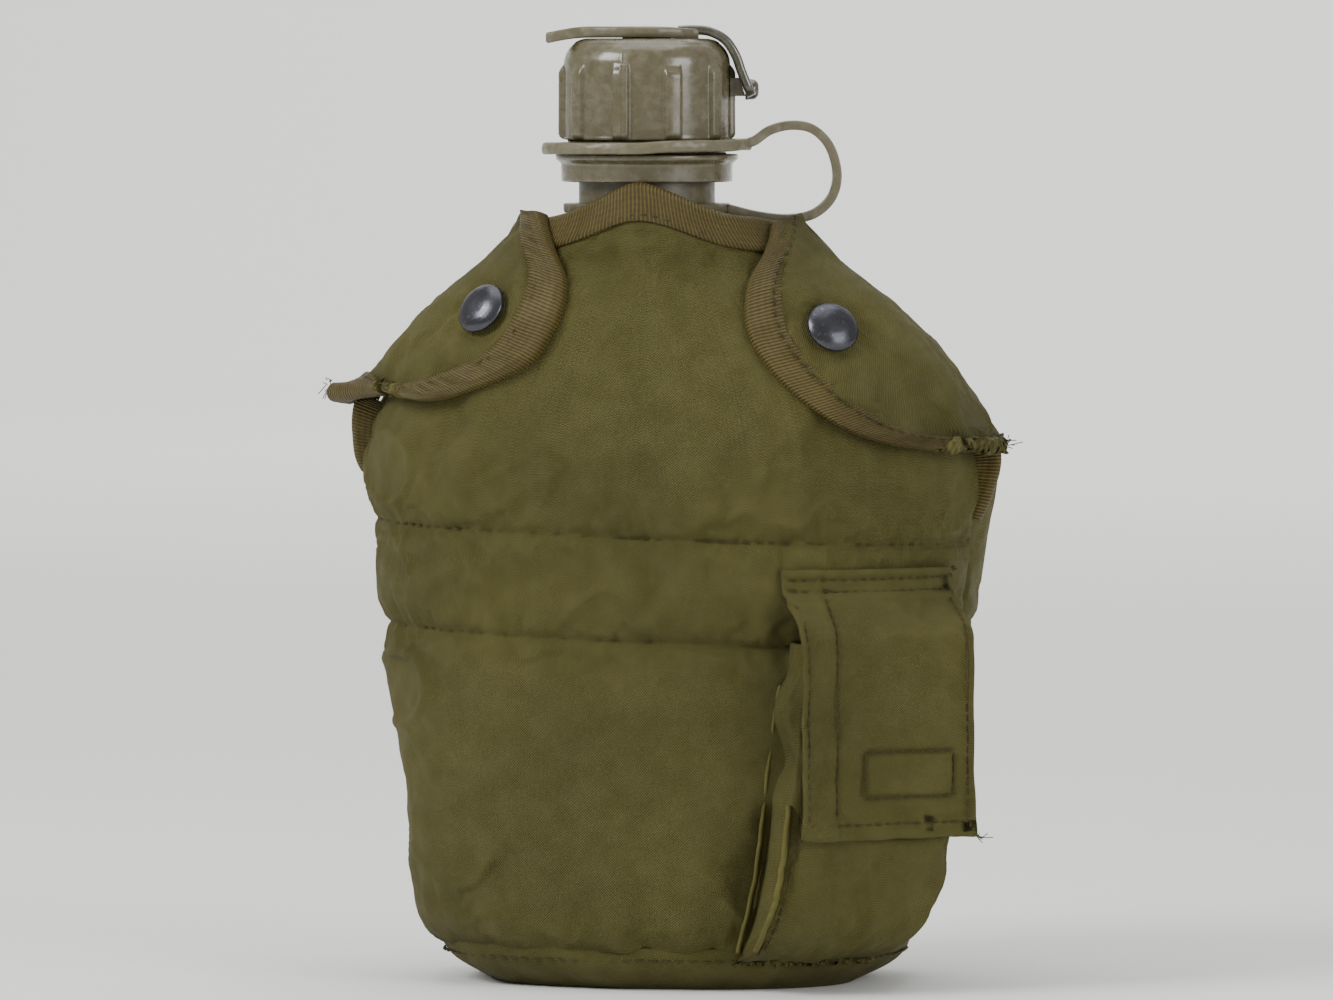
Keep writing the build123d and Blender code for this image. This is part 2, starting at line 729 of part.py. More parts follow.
def snap_cap(side):
    """Domed button on the flap, with the post that reaches its socket."""
    plane = snap_plane(side)
    with BuildPart() as dome:
        add(disc(plane, DOME_R, *DOME_Z))
        fillet(dome.edges().group_by(SortBy.DISTANCE)[-1], DOME_R / 6)
        add(disc(plane, DOME_POST_R, SOCKET[-1], DOME_Z[0]))
    return dome


# ---------------------------------------------------------------- pocket
def pocket_block(depth, inset, raised):
    """The pocket's filled shape, shrunk all over by an inset and with its top raised."""
    across = [x for x, y in POCKET_OUTLINE]
    top = POCKET_OUTLINE[0][1]
    with BuildPart() as block:
        with BuildSketch(pocket_plane(depth)):
            with BuildLine():
                Polyline(*POCKET_OUTLINE, close=True)
            make_face()
            offset(amount=-inset, kind=Kind.INTERSECTION, mode=Mode.REPLACE)
            with Locations(((across[0] + across[-1]) / 2, top)):
                Rectangle(across[-1] - across[0] - 2 * inset, 2 * raised)
        extrude(amount=-POCKET_REACH)
        with BuildSketch(pocket_side_plane(depth)):
            with BuildLine():
                Polyline(*POCKET_PROFILE, close=True)
            make_face()
            with Locations((POCKET_PROFILE[-1][0] / 2, top)):
                Rectangle(POCKET_PROFILE[-1][0], 2 * raised)
        extrude(amount=HALF_SPACE, both=True, mode=Mode.INTERSECT)
    return block.part


def pocket_body():
    """Pocket sewn on the cover, open at its top."""
    with BuildPart() as pocket:
        add(pocket_block(FRONT_DEPTH, 0, 0))
        add(pocket_block(FRONT_DEPTH + POCKET_CLOTH, POCKET_CLOTH, 4), mode=Mode.SUBTRACT)
        add(soft_body(COVER_STATIONS), mode=Mode.SUBTRACT)
    return pocket


def pocket_flap():
    """Flap that hangs over the pocket's mouth and front."""
    depth, top = FLAP_HINGE
    thickness = FLAP_SIZE[1]
    with BuildPart() as panel:
        with BuildSketch(pocket_side_plane()):
            with BuildLine():
                Polyline(
                    (0, FLAP_BOTTOM),
                    (0, FLAP_SHOULDER),
                    (depth - thickness / 2, top),
                    (depth + thickness / 2, top - thickness / 2),
                    (thickness, FLAP_SHOULDER - thickness),
                    (thickness, FLAP_BOTTOM),
                    close=True,
                )
            make_face()
        extrude(amount=FLAP_SIZE[0] / 2, both=True)
        add(soft_body(COVER_STATIONS, 0.5), mode=Mode.SUBTRACT)
    return panel


def pocket_flap_root():
    """Strip of the flap that is sewn to the cover above the pocket."""
    low, high = FLAP_ROOT
    with BuildPart() as root:
        with BuildSketch(pocket_side_plane()):
            with Locations((FLAP_HINGE[0] + POCKET_REACH / 2, (low + high) / 2)):
                Rectangle(POCKET_REACH, high - low)
        extrude(amount=FLAP_SIZE[0] / 2, both=True)
        add(soft_body(COVER_STATIONS), mode=Mode.SUBTRACT)
    return root


def pocket_patch(depth):
    """One hook-and-loop patch, its outer face at a depth under the flap's outer face."""
    width, height, thickness = PATCH
    with BuildPart() as patch:
        with BuildSketch(pocket_plane(depth)):
            with Locations(PATCH_AT):
                Rectangle(width, height)
        extrude(amount=-thickness)
    return patch


# ---------------------------------------------------------------- belt clips
def box_between(low, high):
    """A box between two corners."""
    with BuildPart() as made:
        size = [b - a for a, b in zip(low, high)]
        with Locations(low):
            Box(*size, align=(Align.MIN, Align.MIN, Align.MIN))
    return made.part


def clip_frame(x):
    """Steel channel whose two slotted arms carry the slide."""
    half = CLIP_W / 2
    arm_end = SLIDE_Y + CLIP_T + SLOT_GAP + ARM_END
    slot = SLIDE_W / 2 + SLOT_GAP
    with BuildPart() as frame:
        add(box_between((x - half, CLIP_Y, CLIP_Z[0]), (x + half, CLIP_Y + CLIP_T, CLIP_Z[1])))
        for z in (CLIP_Z[0], CLIP_Z[1] - CLIP_T):
            add(box_between((x - half, CLIP_Y, z), (x + half, arm_end, z + CLIP_T)))
        low = (x - slot, SLIDE_Y - SLOT_GAP, 0)
        high = (x + slot, SLIDE_Y + CLIP_T + SLOT_GAP, HALF_SPACE)
        add(box_between(low, high), mode=Mode.SUBTRACT)
        fillet(frame.edges().filter_by(Axis.X).group_by(Axis.Y)[0], CLIP_T - 0.1)
        fillet(frame.edges().filter_by(Axis.Z).group_by(Axis.Y)[-1], ARM_END)
    return frame


def clip_slide(x):
    """Flat bar that closes the clip behind the belt, with a bent finger tab at its top."""
    half = SLIDE_W / 2
    low_z = CLIP_Z[0] - 1.5
    top_z = CLIP_Z[1] + 1.5
    with BuildPart() as slide:
        add(box_between((x - half, SLIDE_Y, low_z), (x + half, SLIDE_Y + CLIP_T, top_z)))
        tab_end = SLIDE_Y + CLIP_T + SLIDE_TIP
        add(box_between((x - half, SLIDE_Y, top_z), (x + half, tab_end, top_z + CLIP_T)))
    return slide


def belt_loop(x):
    """Webbing sewn to the back panel and passed round the clip's plate."""
    half = WEBBING_W / 2
    far = CLIP_Y + CLIP_T + WEBBING_T
    with BuildPart() as loop:
        add(box_between((x - half, SEAM_Y, WEBBING_Z[0]), (x + half, far, WEBBING_Z[1])))
        add(soft_body(COVER_STATIONS), mode=Mode.SUBTRACT)
        clear = CLIP_W / 2 + SLOT_GAP
        low = (x - clear, CLIP_Y, 0)
        high = (x + clear, CLIP_Y + CLIP_T, HALF_SPACE)
        add(box_between(low, high), mode=Mode.SUBTRACT)
    return loop


# ---------------------------------------------------------------- the whole canteen
def main():
    """Builds every piece and writes its STEP file."""
    os.makedirs("parts", exist_ok=True)
    skin = panel_shell()
    cap = cap_body()
    tab = radial_bar(TAB, STRAP_W)
    front = cover_front(skin)
    back = cover_back(skin)
    pieces = {
        "bottle": bottle(),
        "cap_body": cap,
        "port_cup": port_cup(),
        "cap_gasket": ring(GASKET_R[1], GASKET_R[0], GASKET_BOTTOM_Z, CAP_SEAT_Z),
        "port_seal": ring(SEAT_R, SEAL_R, *SEAL_Z),
        "probe_pin": probe_pin(),
        "dust_cover": dust_cover(),
        "cover_anchor": tab,
        "cover_lug": cover_lug(tab, cap),
        "strap_cap_ring": ring(RING_R[1], RING_R[0], *RING_Z),
        "strap_neck_ring": ring(NECK_RING_R[1], NECK_RING_R[0], *NECK_RING_Z),
        "strap_loop": strap_loop(),
        "cover_front": front,
        "cover_back": back,
        "base_panel": base_panel(skin),
        "drain_eyelet": drain_eyelet(),
        "lining_front": lining(before_seam()),
        "lining_back": lining(behind_seam()),
        "collar_binding_front": collar_binding_front(front),
        "collar_binding_back": collar_binding_back(back),
        "pocket_body": pocket_body(),
        "pocket_flap": pocket_flap(),
        "pocket_flap_root": pocket_flap_root(),
        "pocket_hook_patch": pocket_patch(FLAP_SIZE[1]),
        "pocket_loop_patch": pocket_patch(FRONT_DEPTH - PATCH[2]),
    }
    for side in FLAP_EDGES:
        cloth = flap(side)
        pieces[f"{side}_flap"] = cloth
        pieces[f"{side}_flap_binding"] = flap_binding(side, cloth)
        pieces[f"{side}_snap_cap"] = snap_cap(side)
        pieces[f"{side}_snap_socket"] = snap_socket(side)
        pieces[f"{side}_snap_stud"] = snap_stud(side)
        pieces[f"{side}_snap_post"] = snap_post(side)
        pieces[f"{side}_clip_frame"] = clip_frame(CLIP_X[side])
        pieces[f"{side}_clip_slide"] = clip_slide(CLIP_X[side])
        pieces[f"{side}_belt_loop"] = belt_loop(CLIP_X[side])
    for label, piece in pieces.items():
        write(piece, label)


if __name__ == "__main__":
    main()
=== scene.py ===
from math import cos, pi, radians, sin

import bpy
import numpy as np
from mathutils import Matrix, Vector


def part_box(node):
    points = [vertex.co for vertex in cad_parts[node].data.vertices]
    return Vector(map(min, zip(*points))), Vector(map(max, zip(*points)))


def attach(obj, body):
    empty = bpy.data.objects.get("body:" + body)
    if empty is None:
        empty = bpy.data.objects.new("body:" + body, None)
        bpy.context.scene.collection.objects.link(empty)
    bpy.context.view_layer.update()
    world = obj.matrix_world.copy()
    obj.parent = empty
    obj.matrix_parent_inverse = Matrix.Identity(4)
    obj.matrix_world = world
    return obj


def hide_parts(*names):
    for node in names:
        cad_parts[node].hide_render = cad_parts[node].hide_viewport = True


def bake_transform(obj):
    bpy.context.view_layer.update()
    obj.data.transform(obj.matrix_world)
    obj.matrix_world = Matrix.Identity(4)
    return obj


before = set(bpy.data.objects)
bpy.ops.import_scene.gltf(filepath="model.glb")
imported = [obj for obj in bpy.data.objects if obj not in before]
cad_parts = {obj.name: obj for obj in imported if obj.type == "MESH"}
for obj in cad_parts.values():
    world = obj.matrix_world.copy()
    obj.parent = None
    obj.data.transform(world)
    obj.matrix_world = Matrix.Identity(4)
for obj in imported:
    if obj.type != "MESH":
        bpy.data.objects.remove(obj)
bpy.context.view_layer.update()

MM = 0.001

# ---------------------------------------------------------------- the cover's surface, in millimetres
BEND = 0.0015  # how much the kidney's ends curve back
SEAM_Y = 17.0
SEAM_LEAN = 0.06
# Height, half width, half depth, centre x, centre y, roundness power: the frame's own section law.
STATIONS = np.array([
    (0, 44, 28, 5, 8, 2.6),
    (5, 53, 34.5, 5, 8, 2.7),
    (12, 58.5, 38, 5, 8, 2.8),
    (24, 62.5, 40.5, 5, 8, 2.8),
    (60, 66.5, 42, 5, 8, 2.8),
    (107, 72.5, 43.5, 5, 8, 2.8),
    (128, 75, 43, 5, 8, 2.8),
    (146, 68, 39, 5, 7.5, 2.6),
    (160, 55, 34, 4.5, 6, 2.4),
    (172, 39, 28.5, 4, 3.5, 2.2),
    (182, 29.5, 26, 3.5, 1, 2.1),
    (194, 26.5, 24.5, 3, 0, 2.0),
])
COLLAR_EDGE = np.array([(-36, 181), (-17, 184), (2.5, 191.2), (21, 184.5), (40, 180.5)])
REAR_EDGE_Z = 181.0
FLAP_EDGES = {
    "left": np.array([
        (-21, 184), (-15.2, 166.6), (-20.5, 152), (-32, 144.5), (-48, 139.8), (-62, 141), (-76, 137.5),
    ]),
    "right": np.array([
        (30.3, 181), (27.3, 166.6), (29.3, 154.6), (40.7, 141), (55, 132), (70, 128.6), (86, 128.2),
    ]),
}
ROW_ONE = (108.7, -0.033)  # a stitched row across the front: height at the middle, and slope
ROW_TWO = (84.0, -0.036)
BASE_SEAM_Z = 9.0
COLLAR_LEVEL = 184.0  # where the width of the neck opening is taken
TOP_LEVEL = 194.0  # the last of the stations
LEVELS = np.linspace(0, TOP_LEVEL, 60)
SWELL_FRAMES = 20


def smooth_rows(table, at):
    """Smooth curve through a table's rows, looked up by its first column."""
    keys = table[:, 0]
    values = table[:, 1:]
    slopes = np.gradient(values, keys, axis=0)
    at = np.clip(at, keys[0], keys[-1])
    i = np.clip(np.searchsorted(keys, at, side="right") - 1, 0, len(keys) - 2)
    span = (keys[i + 1] - keys[i])[..., None]
    t = ((at - keys[i]) / (keys[i + 1] - keys[i]))[..., None]
    start = (1 + 2 * t) * (1 - t) ** 2 * values[i] + t * (1 - t) ** 2 * span * slopes[i]
    end = t * t * (3 - 2 * t) * values[i + 1] + t * t * (t - 1) * span * slopes[i + 1]
    return start + end


def even_angles():
    """Angles that step evenly along the perimeter, as a function of a share of the way round."""
    angle = np.linspace(-pi / 2, 3 * pi / 2, 4001)
    x = 70 * np.sign(np.cos(angle)) * np.abs(np.cos(angle)) ** (2 / 2.8)
    y = 42 * np.sign(np.sin(angle)) * np.abs(np.sin(angle)) ** (2 / 2.8)
    length = np.concatenate([[0], np.cumsum(np.hypot(np.diff(x), np.diff(y)))])
    return length / length[-1], angle


SHARES, ANGLES = even_angles()


def flat_point(w, z):
    """Point of the bare surface: w is the share of the way round from the front's middle."""
    w, z = np.broadcast_arrays(np.asarray(w, float), np.asarray(z, float))
    a, b, cx, cy, power = np.moveaxis(smooth_rows(STATIONS, z), -1, 0)
    angle = np.interp(w % 1.0, SHARES, ANGLES)
    c, s = np.cos(angle), np.sin(angle)
    x = a * np.sign(c) * np.abs(c) ** (2 / power)
    y = b * np.sign(s) * np.abs(s) ** (2 / power)
    return np.stack([cx + x, cy + y + BEND * x * x, z], axis=-1)


def unit(v):
    return v / np.maximum(np.linalg.norm(v, axis=-1, keepdims=True), 1e-9)


def surface_normal(w, z):
    around = flat_point(w + 0.004, z) - flat_point(w - 0.004, z)
    upward = flat_point(w, np.minimum(z + 1.0, TOP_LEVEL)) - flat_point(w, np.maximum(z - 1.0, 0))
    return unit(np.cross(around, upward))


def on_surface(w, z, height):
    """Point at a height above the bare surface."""
    return flat_point(w, z) + surface_normal(w, z) * np.asarray(height)[..., None]


def seam_share(z):
    """Where the right side seam lies, as a share of the way round; the left one mirrors it."""
    z = np.atleast_1d(np.asarray(z, float))
    w = np.linspace(0.12, 0.42, 160)
    y = flat_point(w[None, :], z[:, None])[..., 1]
    want = SEAM_Y - SEAM_LEAN * z
    return np.array([np.interp(t, row, w) for t, row in zip(want, y)])


def share_at(x, z):
    """Share of the way round, on the front, of a point seen at x and z."""
    x, z = np.broadcast_arrays(np.atleast_1d(np.asarray(x, float)), np.asarray(z, float))
    w = np.linspace(-0.25, 0.25, 300)
    line = flat_point(w[None, :], z.reshape(-1)[:, None])[..., 0]
    flat = [np.interp(t, row, w) for t, row in zip(x.reshape(-1), line)]
    return np.array(flat).reshape(x.shape)


# ---------------------------------------------------------------- noise
def lattice(seed):
    return np.random.RandomState(seed).uniform(-1, 1, (64, 64))


LATTICES = [lattice(seed) for seed in range(12)]


def noise(x, y, seed=0):
    """Smooth noise from -1 to 1 on a plane, with one bump per unit."""
    grid = LATTICES[seed % 12]
    x, y = np.broadcast_arrays(np.asarray(x, float), np.asarray(y, float))
    xi, yi = np.floor(x).astype(int), np.floor(y).astype(int)
    fx, fy = x - xi, y - yi
    fx, fy = fx * fx * (3 - 2 * fx), fy * fy * (3 - 2 * fy)
    at = lambda i, j: grid[(xi + i) % 64, (yi + j) % 64]
    low = at(0, 0) * (1 - fx) + at(1, 0) * fx
    high = at(0, 1) * (1 - fx) + at(1, 1) * fx
    return low * (1 - fy) + high * fy


def ridges(x, y, seed=0):
    """Soft creases: noise folded so that its zero lines become ridges."""
    return 1 - 2 * np.abs(noise(x, y, seed))


def bump(distance, width):
    return np.exp(-(distance / width) ** 2)


# ---------------------------------------------------------------- meshes
def new_object(name, vertices, faces, uvs=None):
    mesh = bpy.data.meshes.new(name)
    mesh.from_pydata([tuple(v) for v in vertices], [], faces)
    if uvs is not None:
        layer = mesh.uv_layers.new(name="UVMap")
        loops = np.empty(len(mesh.loops), dtype=np.int32)
        mesh.loops.foreach_get("vertex_index", loops)
        layer.data.foreach_set("uv", np.asarray(uvs, float)[loops].reshape(-1))
    mesh.validate()
    mesh.update()
    mesh.polygons.foreach_set("use_smooth", [True] * len(mesh.polygons))
    obj = bpy.data.objects.new(name, mesh)
    bpy.context.scene.collection.objects.link(obj)
    return obj


def grid_object(name, points, closed=False, uvs=None):
    """Mesh from rows of points in millimetres; closed joins the last column to the first."""
    rows, columns = points.shape[:2]
    faces = []
    for i in range(rows - 1):
        for j in range(columns if closed else columns - 1):
            k = (j + 1) % columns
            faces.append((i * columns + j, i * columns + k, (i + 1) * columns + k, (i + 1) * columns + j))
    if uvs is None:
        across = np.linalg.norm(np.diff(points, axis=1), axis=-1)
        upward = np.linalg.norm(np.diff(points, axis=0), axis=-1)
        u = np.concatenate([np.zeros((rows, 1)), np.cumsum(across, axis=1)], axis=1)
        v = np.concatenate([np.zeros((1, columns)), np.cumsum(upward, axis=0)], axis=0)
        u = u - u[:, columns // 2][:, None]
        uvs = np.stack([u, v], axis=-1) * MM
    return new_object(name, points.reshape(-1, 3) * MM, faces, uvs.reshape(-1, 2))


def finish_mesh(obj):
    """Applies every modifier, so that the mesh itself holds the shape."""
    graph = bpy.context.evaluated_depsgraph_get()
    graph.update()
    made = bpy.data.meshes.new_from_object(obj.evaluated_get(graph))
    obj.modifiers.clear()
    old = obj.data
    name = old.name
    obj.data = made
    bpy.data.meshes.remove(old)
    made.name = name
    made.polygons.foreach_set("use_smooth", [True] * len(made.polygons))
    return obj


def thicken(obj, thickness, offset=-1.0):
    solid = obj.modifiers.new("cloth", "SOLIDIFY")
    solid.thickness = thickness * MM
    solid.offset = offset
    solid.use_rim = True
    return finish_mesh(obj)


def joined(name, parts):
    """One object from several (vertices, faces, uvs) lists, vertices in millimetres."""
    vertices, faces, uvs = [], [], []
    for v, f, t in parts:
        base = len(vertices)
        vertices.extend(np.asarray(v, float) * MM)
        uvs.extend(t)
        faces.extend([tuple(base + k for k in face) for face in f])
    return new_object(name, vertices, faces, uvs)


def tube(points, radius, sides=8, up=None):
    """Tube along points in millimetres, as lists for joined()."""
    points = np.asarray(points, float)
    along = unit(np.gradient(points, axis=0))
    if up is None:
        up = np.tile(np.array([0.13, 0.21, 0.97]), (len(points), 1))
    up = np.broadcast_to(up, points.shape)
    side = unit(np.cross(along, up))
    up = np.cross(side, along)
    radius = np.broadcast_to(radius, (len(points),))
    turn = np.linspace(0, 2 * pi, sides, endpoint=False)
    shape = side[:, None] * np.cos(turn)[None, :, None] + up[:, None] * np.sin(turn)[None, :, None]
    rows = points[:, None] + shape * radius[:, None, None]
    length = np.concatenate([[0], np.cumsum(np.linalg.norm(np.diff(points, axis=0), axis=1))])
    faces = []
    for i in range(len(points) - 1):
        for j in range(sides):
            k = (j + 1) % sides
            faces.append((i * sides + j, i * sides + k, (i + 1) * sides + k, (i + 1) * sides + j))
    faces.append(tuple(range(sides - 1, -1, -1)))
    faces.append(tuple((len(points) - 1) * sides + j for j in range(sides)))
    uvs = [(length[i] * MM, j * 0.001) for i in range(len(points)) for j in range(sides)]
    return rows.reshape(-1, 3), faces, uvs


def stitches(name, lines, normals, pitch=3.1, length=2.2, radius=0.27, lift=0.0, seed=3):
    """Short sewn stitches along lines of points, lying on a surface with the given normals."""
    random = np.random.RandomState(seed)
    parts = []
    for line, normal in zip(lines, normals):
        line, normal = np.asarray(line, float), np.asarray(normal, float)
        step = np.linalg.norm(np.diff(line, axis=0), axis=1)
        place = np.concatenate([[0], np.cumsum(step)])
        for start in np.arange(0.4, place[-1] - length, pitch):
            t = start + np.linspace(0, 1, 6) * length * random.uniform(0.9, 1.05)
            p = np.stack([np.interp(t, place, line[:, k]) for k in range(3)], axis=-1)
            n = unit(np.stack([np.interp(t, place, normal[:, k]) for k in range(3)], axis=-1))
            arch = np.array([-0.35, 0.1, 0.22, 0.22, 0.1, -0.35]) + lift
            wobble = random.uniform(-0.08, 0.08)
            sideways = unit(np.cross(n, np.gradient(p, axis=0)))
            p = p + n * arch[:, None] + sideways * wobble
            parts.append(tube(p, radius * np.array([0.7, 1, 1, 1, 1, 0.7]), sides=6, up=n))
    return joined(name, parts)


def settle(obj, pinned, cap, pressure, slack):
    """Lets padded cloth swell between its pinned seams, and caps how far any point may move."""
    rest = np.empty(len(obj.data.vertices) * 3)
    obj.data.vertices.foreach_get("co", rest)
    group = obj.vertex_groups.new(name="pinned")
    for weight in np.unique(np.round(pinned, 2)):
        if weight > 0:
            group.add(
                [int(i) for i in np.nonzero(np.round(pinned, 2) == weight)[0]], float(weight),
                "REPLACE"
            )
    cloth = obj.modifiers.new("swell", "CLOTH")
    cloth.settings.quality = 5
    cloth.settings.mass = 0.25
    cloth.settings.tension_stiffness = 12
    cloth.settings.compression_stiffness = 12
    cloth.settings.shear_stiffness = 6
    cloth.settings.bending_stiffness = 0.4
    cloth.settings.use_pressure = True
    cloth.settings.uniform_pressure_force = pressure
    cloth.settings.shrink_min = slack
    cloth.settings.vertex_group_mass = "pinned"
    cloth.settings.effector_weights.gravity = 0
    cloth.collision_settings.use_collision = False
    cloth.point_cache.frame_start = 1
    cloth.point_cache.frame_end = SWELL_FRAMES
    scene = bpy.context.scene
    for step in range(1, SWELL_FRAMES + 1):
        scene.frame_set(step)
    graph = bpy.context.evaluated_depsgraph_get()
    moved = np.empty_like(rest)
    obj.evaluated_get(graph).to_mesh().vertices.foreach_get("co", moved)
    obj.modifiers.remove(cloth)
    obj.vertex_groups.remove(group)
    scene.frame_set(1)
    shift = (moved - rest).reshape(-1, 3)
    size = np.linalg.norm(shift, axis=1, keepdims=True)
    if not np.isfinite(size).all():
        return
    limit = cap * MM
    shift = shift * (limit * np.tanh(size / limit) / np.maximum(size, 1e-9))
    obj.data.vertices.foreach_set("co", (rest.reshape(-1, 3) + shift).reshape(-1))
    obj.data.update()


def vertices_mm(obj):
    place = np.empty(len(obj.data.vertices) * 3)
    obj.data.vertices.foreach_get("co", place)
    return place.reshape(-1, 3) / MM


# ---------------------------------------------------------------- materials
def start_material(name, colour, roughness, metallic=0.0, coat=0.0, sheen=0.0, specular=0.5):
    made = bpy.data.materials.new(name)
    made.use_nodes = True
    shader = made.node_tree.nodes["Principled BSDF"]
    shader.inputs["Base Color"].default_value = (*colour, 1)
    shader.inputs["Roughness"].default_value = roughness
    shader.inputs["Metallic"].default_value = metallic
    shader.inputs["Coat Weight"].default_value = coat
    shader.inputs["Coat Roughness"].default_value = 0.15
    shader.inputs["Sheen Weight"].default_value = sheen
    shader.inputs["Sheen Roughness"].default_value = 0.5
    shader.inputs["Specular IOR Level"].default_value = specular
    return made, made.node_tree, shader


def add_node(tree, kind, inputs=None, **settings):
    made = tree.nodes.new(kind)
    for key, value in settings.items():
        setattr(made, key, value)
    for key, value in (inputs or {}).items():
        if isinstance(value, bpy.types.NodeSocket):
            tree.links.new(value, made.inputs[key])
        else:
            made.inputs[key].default_value = value
    return made


def arithmetic(tree, operation, first, second=0.0):
    return add_node(tree, "ShaderNodeMath", {0: first, 1: second}, operation=operation).outputs[0]


def blur_noise(tree, scale, detail=3.0, vector=None, roughness=0.5):
    vector = vector or add_node(tree, "ShaderNodeTexCoord").outputs["Object"]
    inputs = {"Vector": vector, "Scale": scale, "Detail": detail, "Roughness": roughness}
    return add_node(tree, "ShaderNodeTexNoise", inputs).outputs["Fac"]


def mixed(tree, factor, first, second, blend="MIX"):
    made = tree.nodes.new("ShaderNodeMix")
    made.data_type = "RGBA"
    made.blend_type = blend
    for socket, value in ((made.inputs[0], factor), (made.inputs[6], first), (made.inputs[7], second)):
        if isinstance(value, bpy.types.NodeSocket):
            tree.links.new(value, socket)
        elif isinstance(value, tuple):
            socket.default_value = (*value, 1)
        else:
            socket.default_value = value
    return made.outputs[2]


def spread(tree, value, low, high, to_low=0.0, to_high=1.0):
    inputs = {"Value": value, "From Min": low, "From Max": high, "To Min": to_low, "To Max": to_high}
    return add_node(tree, "ShaderNodeMapRange", inputs).outputs[0]


def bumped(tree, height, strength, distance, below=None):
    inputs = {"Height": height, "Strength": strength, "Distance": distance}
    if below is not None:
        inputs["Normal"] = below
    return add_node(tree, "ShaderNodeBump", inputs).outputs[0]


def woven(name, dark, light, pitch, ribs=False, sheen=0.25, roughness=0.78, depth=0.9, worn=0.35):
    """Woven cloth: threads at a pitch in metres, blotches, fuzz and worn lighter patches, with painted shade
    in the dips between threads and painted highlight on their crowns.
    """
    made, tree, shader = start_material(name, dark, roughness, sheen=sheen, specular=0.3)
    uv = add_node(tree, "ShaderNodeUVMap", uv_map="UVMap").outputs[0]
    parts = add_node(tree, "ShaderNodeSeparateXYZ", {0: uv})
    wave = 2 * pi / pitch
    wander = arithmetic(tree, "MULTIPLY", blur_noise(tree, 60.0, 2.0, uv), 5.0)
    u = arithmetic(tree, "ADD", arithmetic(tree, "MULTIPLY", parts.outputs[0], wave), wander)
    v = arithmetic(tree, "ADD", arithmetic(tree, "MULTIPLY", parts.outputs[1], wave), wander)
    warp = arithmetic(tree, "SINE", u)
    if ribs:
        weft = arithmetic(tree, "SINE", arithmetic(tree, "MULTIPLY", v, 0.55))
        weave = arithmetic(tree, "MULTIPLY_ADD", weft, 0.2)
        tree.links.new(warp, weave.node.inputs[2])
    else:
        weft = arithmetic(tree, "SINE", v)
        weave = arithmetic(tree, "MULTIPLY", warp, weft)
    broad = spread(tree, blur_noise(tree, 22.0, 4.0), 0.3, 0.7)
    middle = spread(tree, blur_noise(tree, 150.0, 3.0), 0.3, 0.7)
    speck = spread(tree, blur_noise(tree, 1500.0, 2.0), 0.25, 0.75)
    tone = mixed(tree, broad, dark, light)
    tone = mixed(tree, arithmetic(tree, "MULTIPLY", middle, 0.3), tone, tuple(c * 0.62 for c in dark))
    pale = tuple(min(1.0, c * 1.5) for c in light)
    tone = mixed(
        tree, arithmetic(tree, "MULTIPLY", arithmetic(tree, "POWER", speck, 3.0), worn), tone, pale
    )
    # painted shade and highlight: the colour is multiplied by the weave's height, darker in the dips between
    # threads and lighter on their crowns
    weave_painted_shade = spread(tree, weave, -1.0, 1.0, 0.5, 1.2)
    weave_painted_shade_grey = add_node(tree, "ShaderNodeCombineColor", {0: weave_painted_shade, 1: weave_painted_shade, 2: weave_painted_shade}).outputs[0]
    tone = mixed(tree, 1.0, tone, weave_painted_shade_grey, "MULTIPLY")
    tree.links.new(tone, shader.inputs["Base Color"])
    tree.links.new(
        spread(tree, middle, 0.0, 1.0, roughness - 0.12, roughness + 0.1), shader.inputs["Roughness"]
    )
    normal = bumped(tree, blur_noise(tree, 260.0, 4.0), 0.35, 0.0006)
    normal = bumped(tree, weave, depth, pitch * 0.22, normal)
    tree.links.new(normal, shader.inputs["Normal"])
    return made


def moulded(name, colour, roughness=0.32, coat=0.25, mottle=0.3, scratch=0.25):
    """Moulded plastic: faint mottling, fine pitting, rubbed patches and hairline scratches."""
    made, tree, shader = start_material(name, colour, roughness, coat=coat)
    large = spread(tree, blur_noise(tree, 45.0, 4.0), 0.3, 0.7)
    dust = spread(tree, blur_noise(tree, 420.0, 5.0, roughness=0.65), 0.45, 0.75)
    light = tuple(min(1.0, c * 1.35) for c in colour)
    tone = mixed(tree, arithmetic(tree, "MULTIPLY", large, mottle), colour, light)
    tone = mixed(tree, arithmetic(tree, "MULTIPLY", dust, 0.14), tone, (0.42, 0.40, 0.32))
    tree.links.new(tone, shader.inputs["Base Color"])
    where = add_node(tree, "ShaderNodeTexCoord").outputs["Object"]
    stretched = add_node(
        tree, "ShaderNodeMapping", {"Vector": where, "Scale": (260.0, 260.0, 420.0)}
    ).outputs[0]
    lines = blur_noise(tree, 1.0, 2.0, stretched)
    rough = arithmetic(tree, "MULTIPLY_ADD", spread(tree, lines, 0.45, 0.7), scratch)
    rough.node.inputs[2].default_value = roughness
    tree.links.new(rough, shader.inputs["Roughness"])
    normal = bumped(tree, blur_noise(tree, 900.0, 3.0), 0.12, 0.0002)
    normal = bumped(tree, blur_noise(tree, 90.0, 2.0), 0.25, 0.0006, normal)
    tree.links.new(normal, shader.inputs["Normal"])
    return made


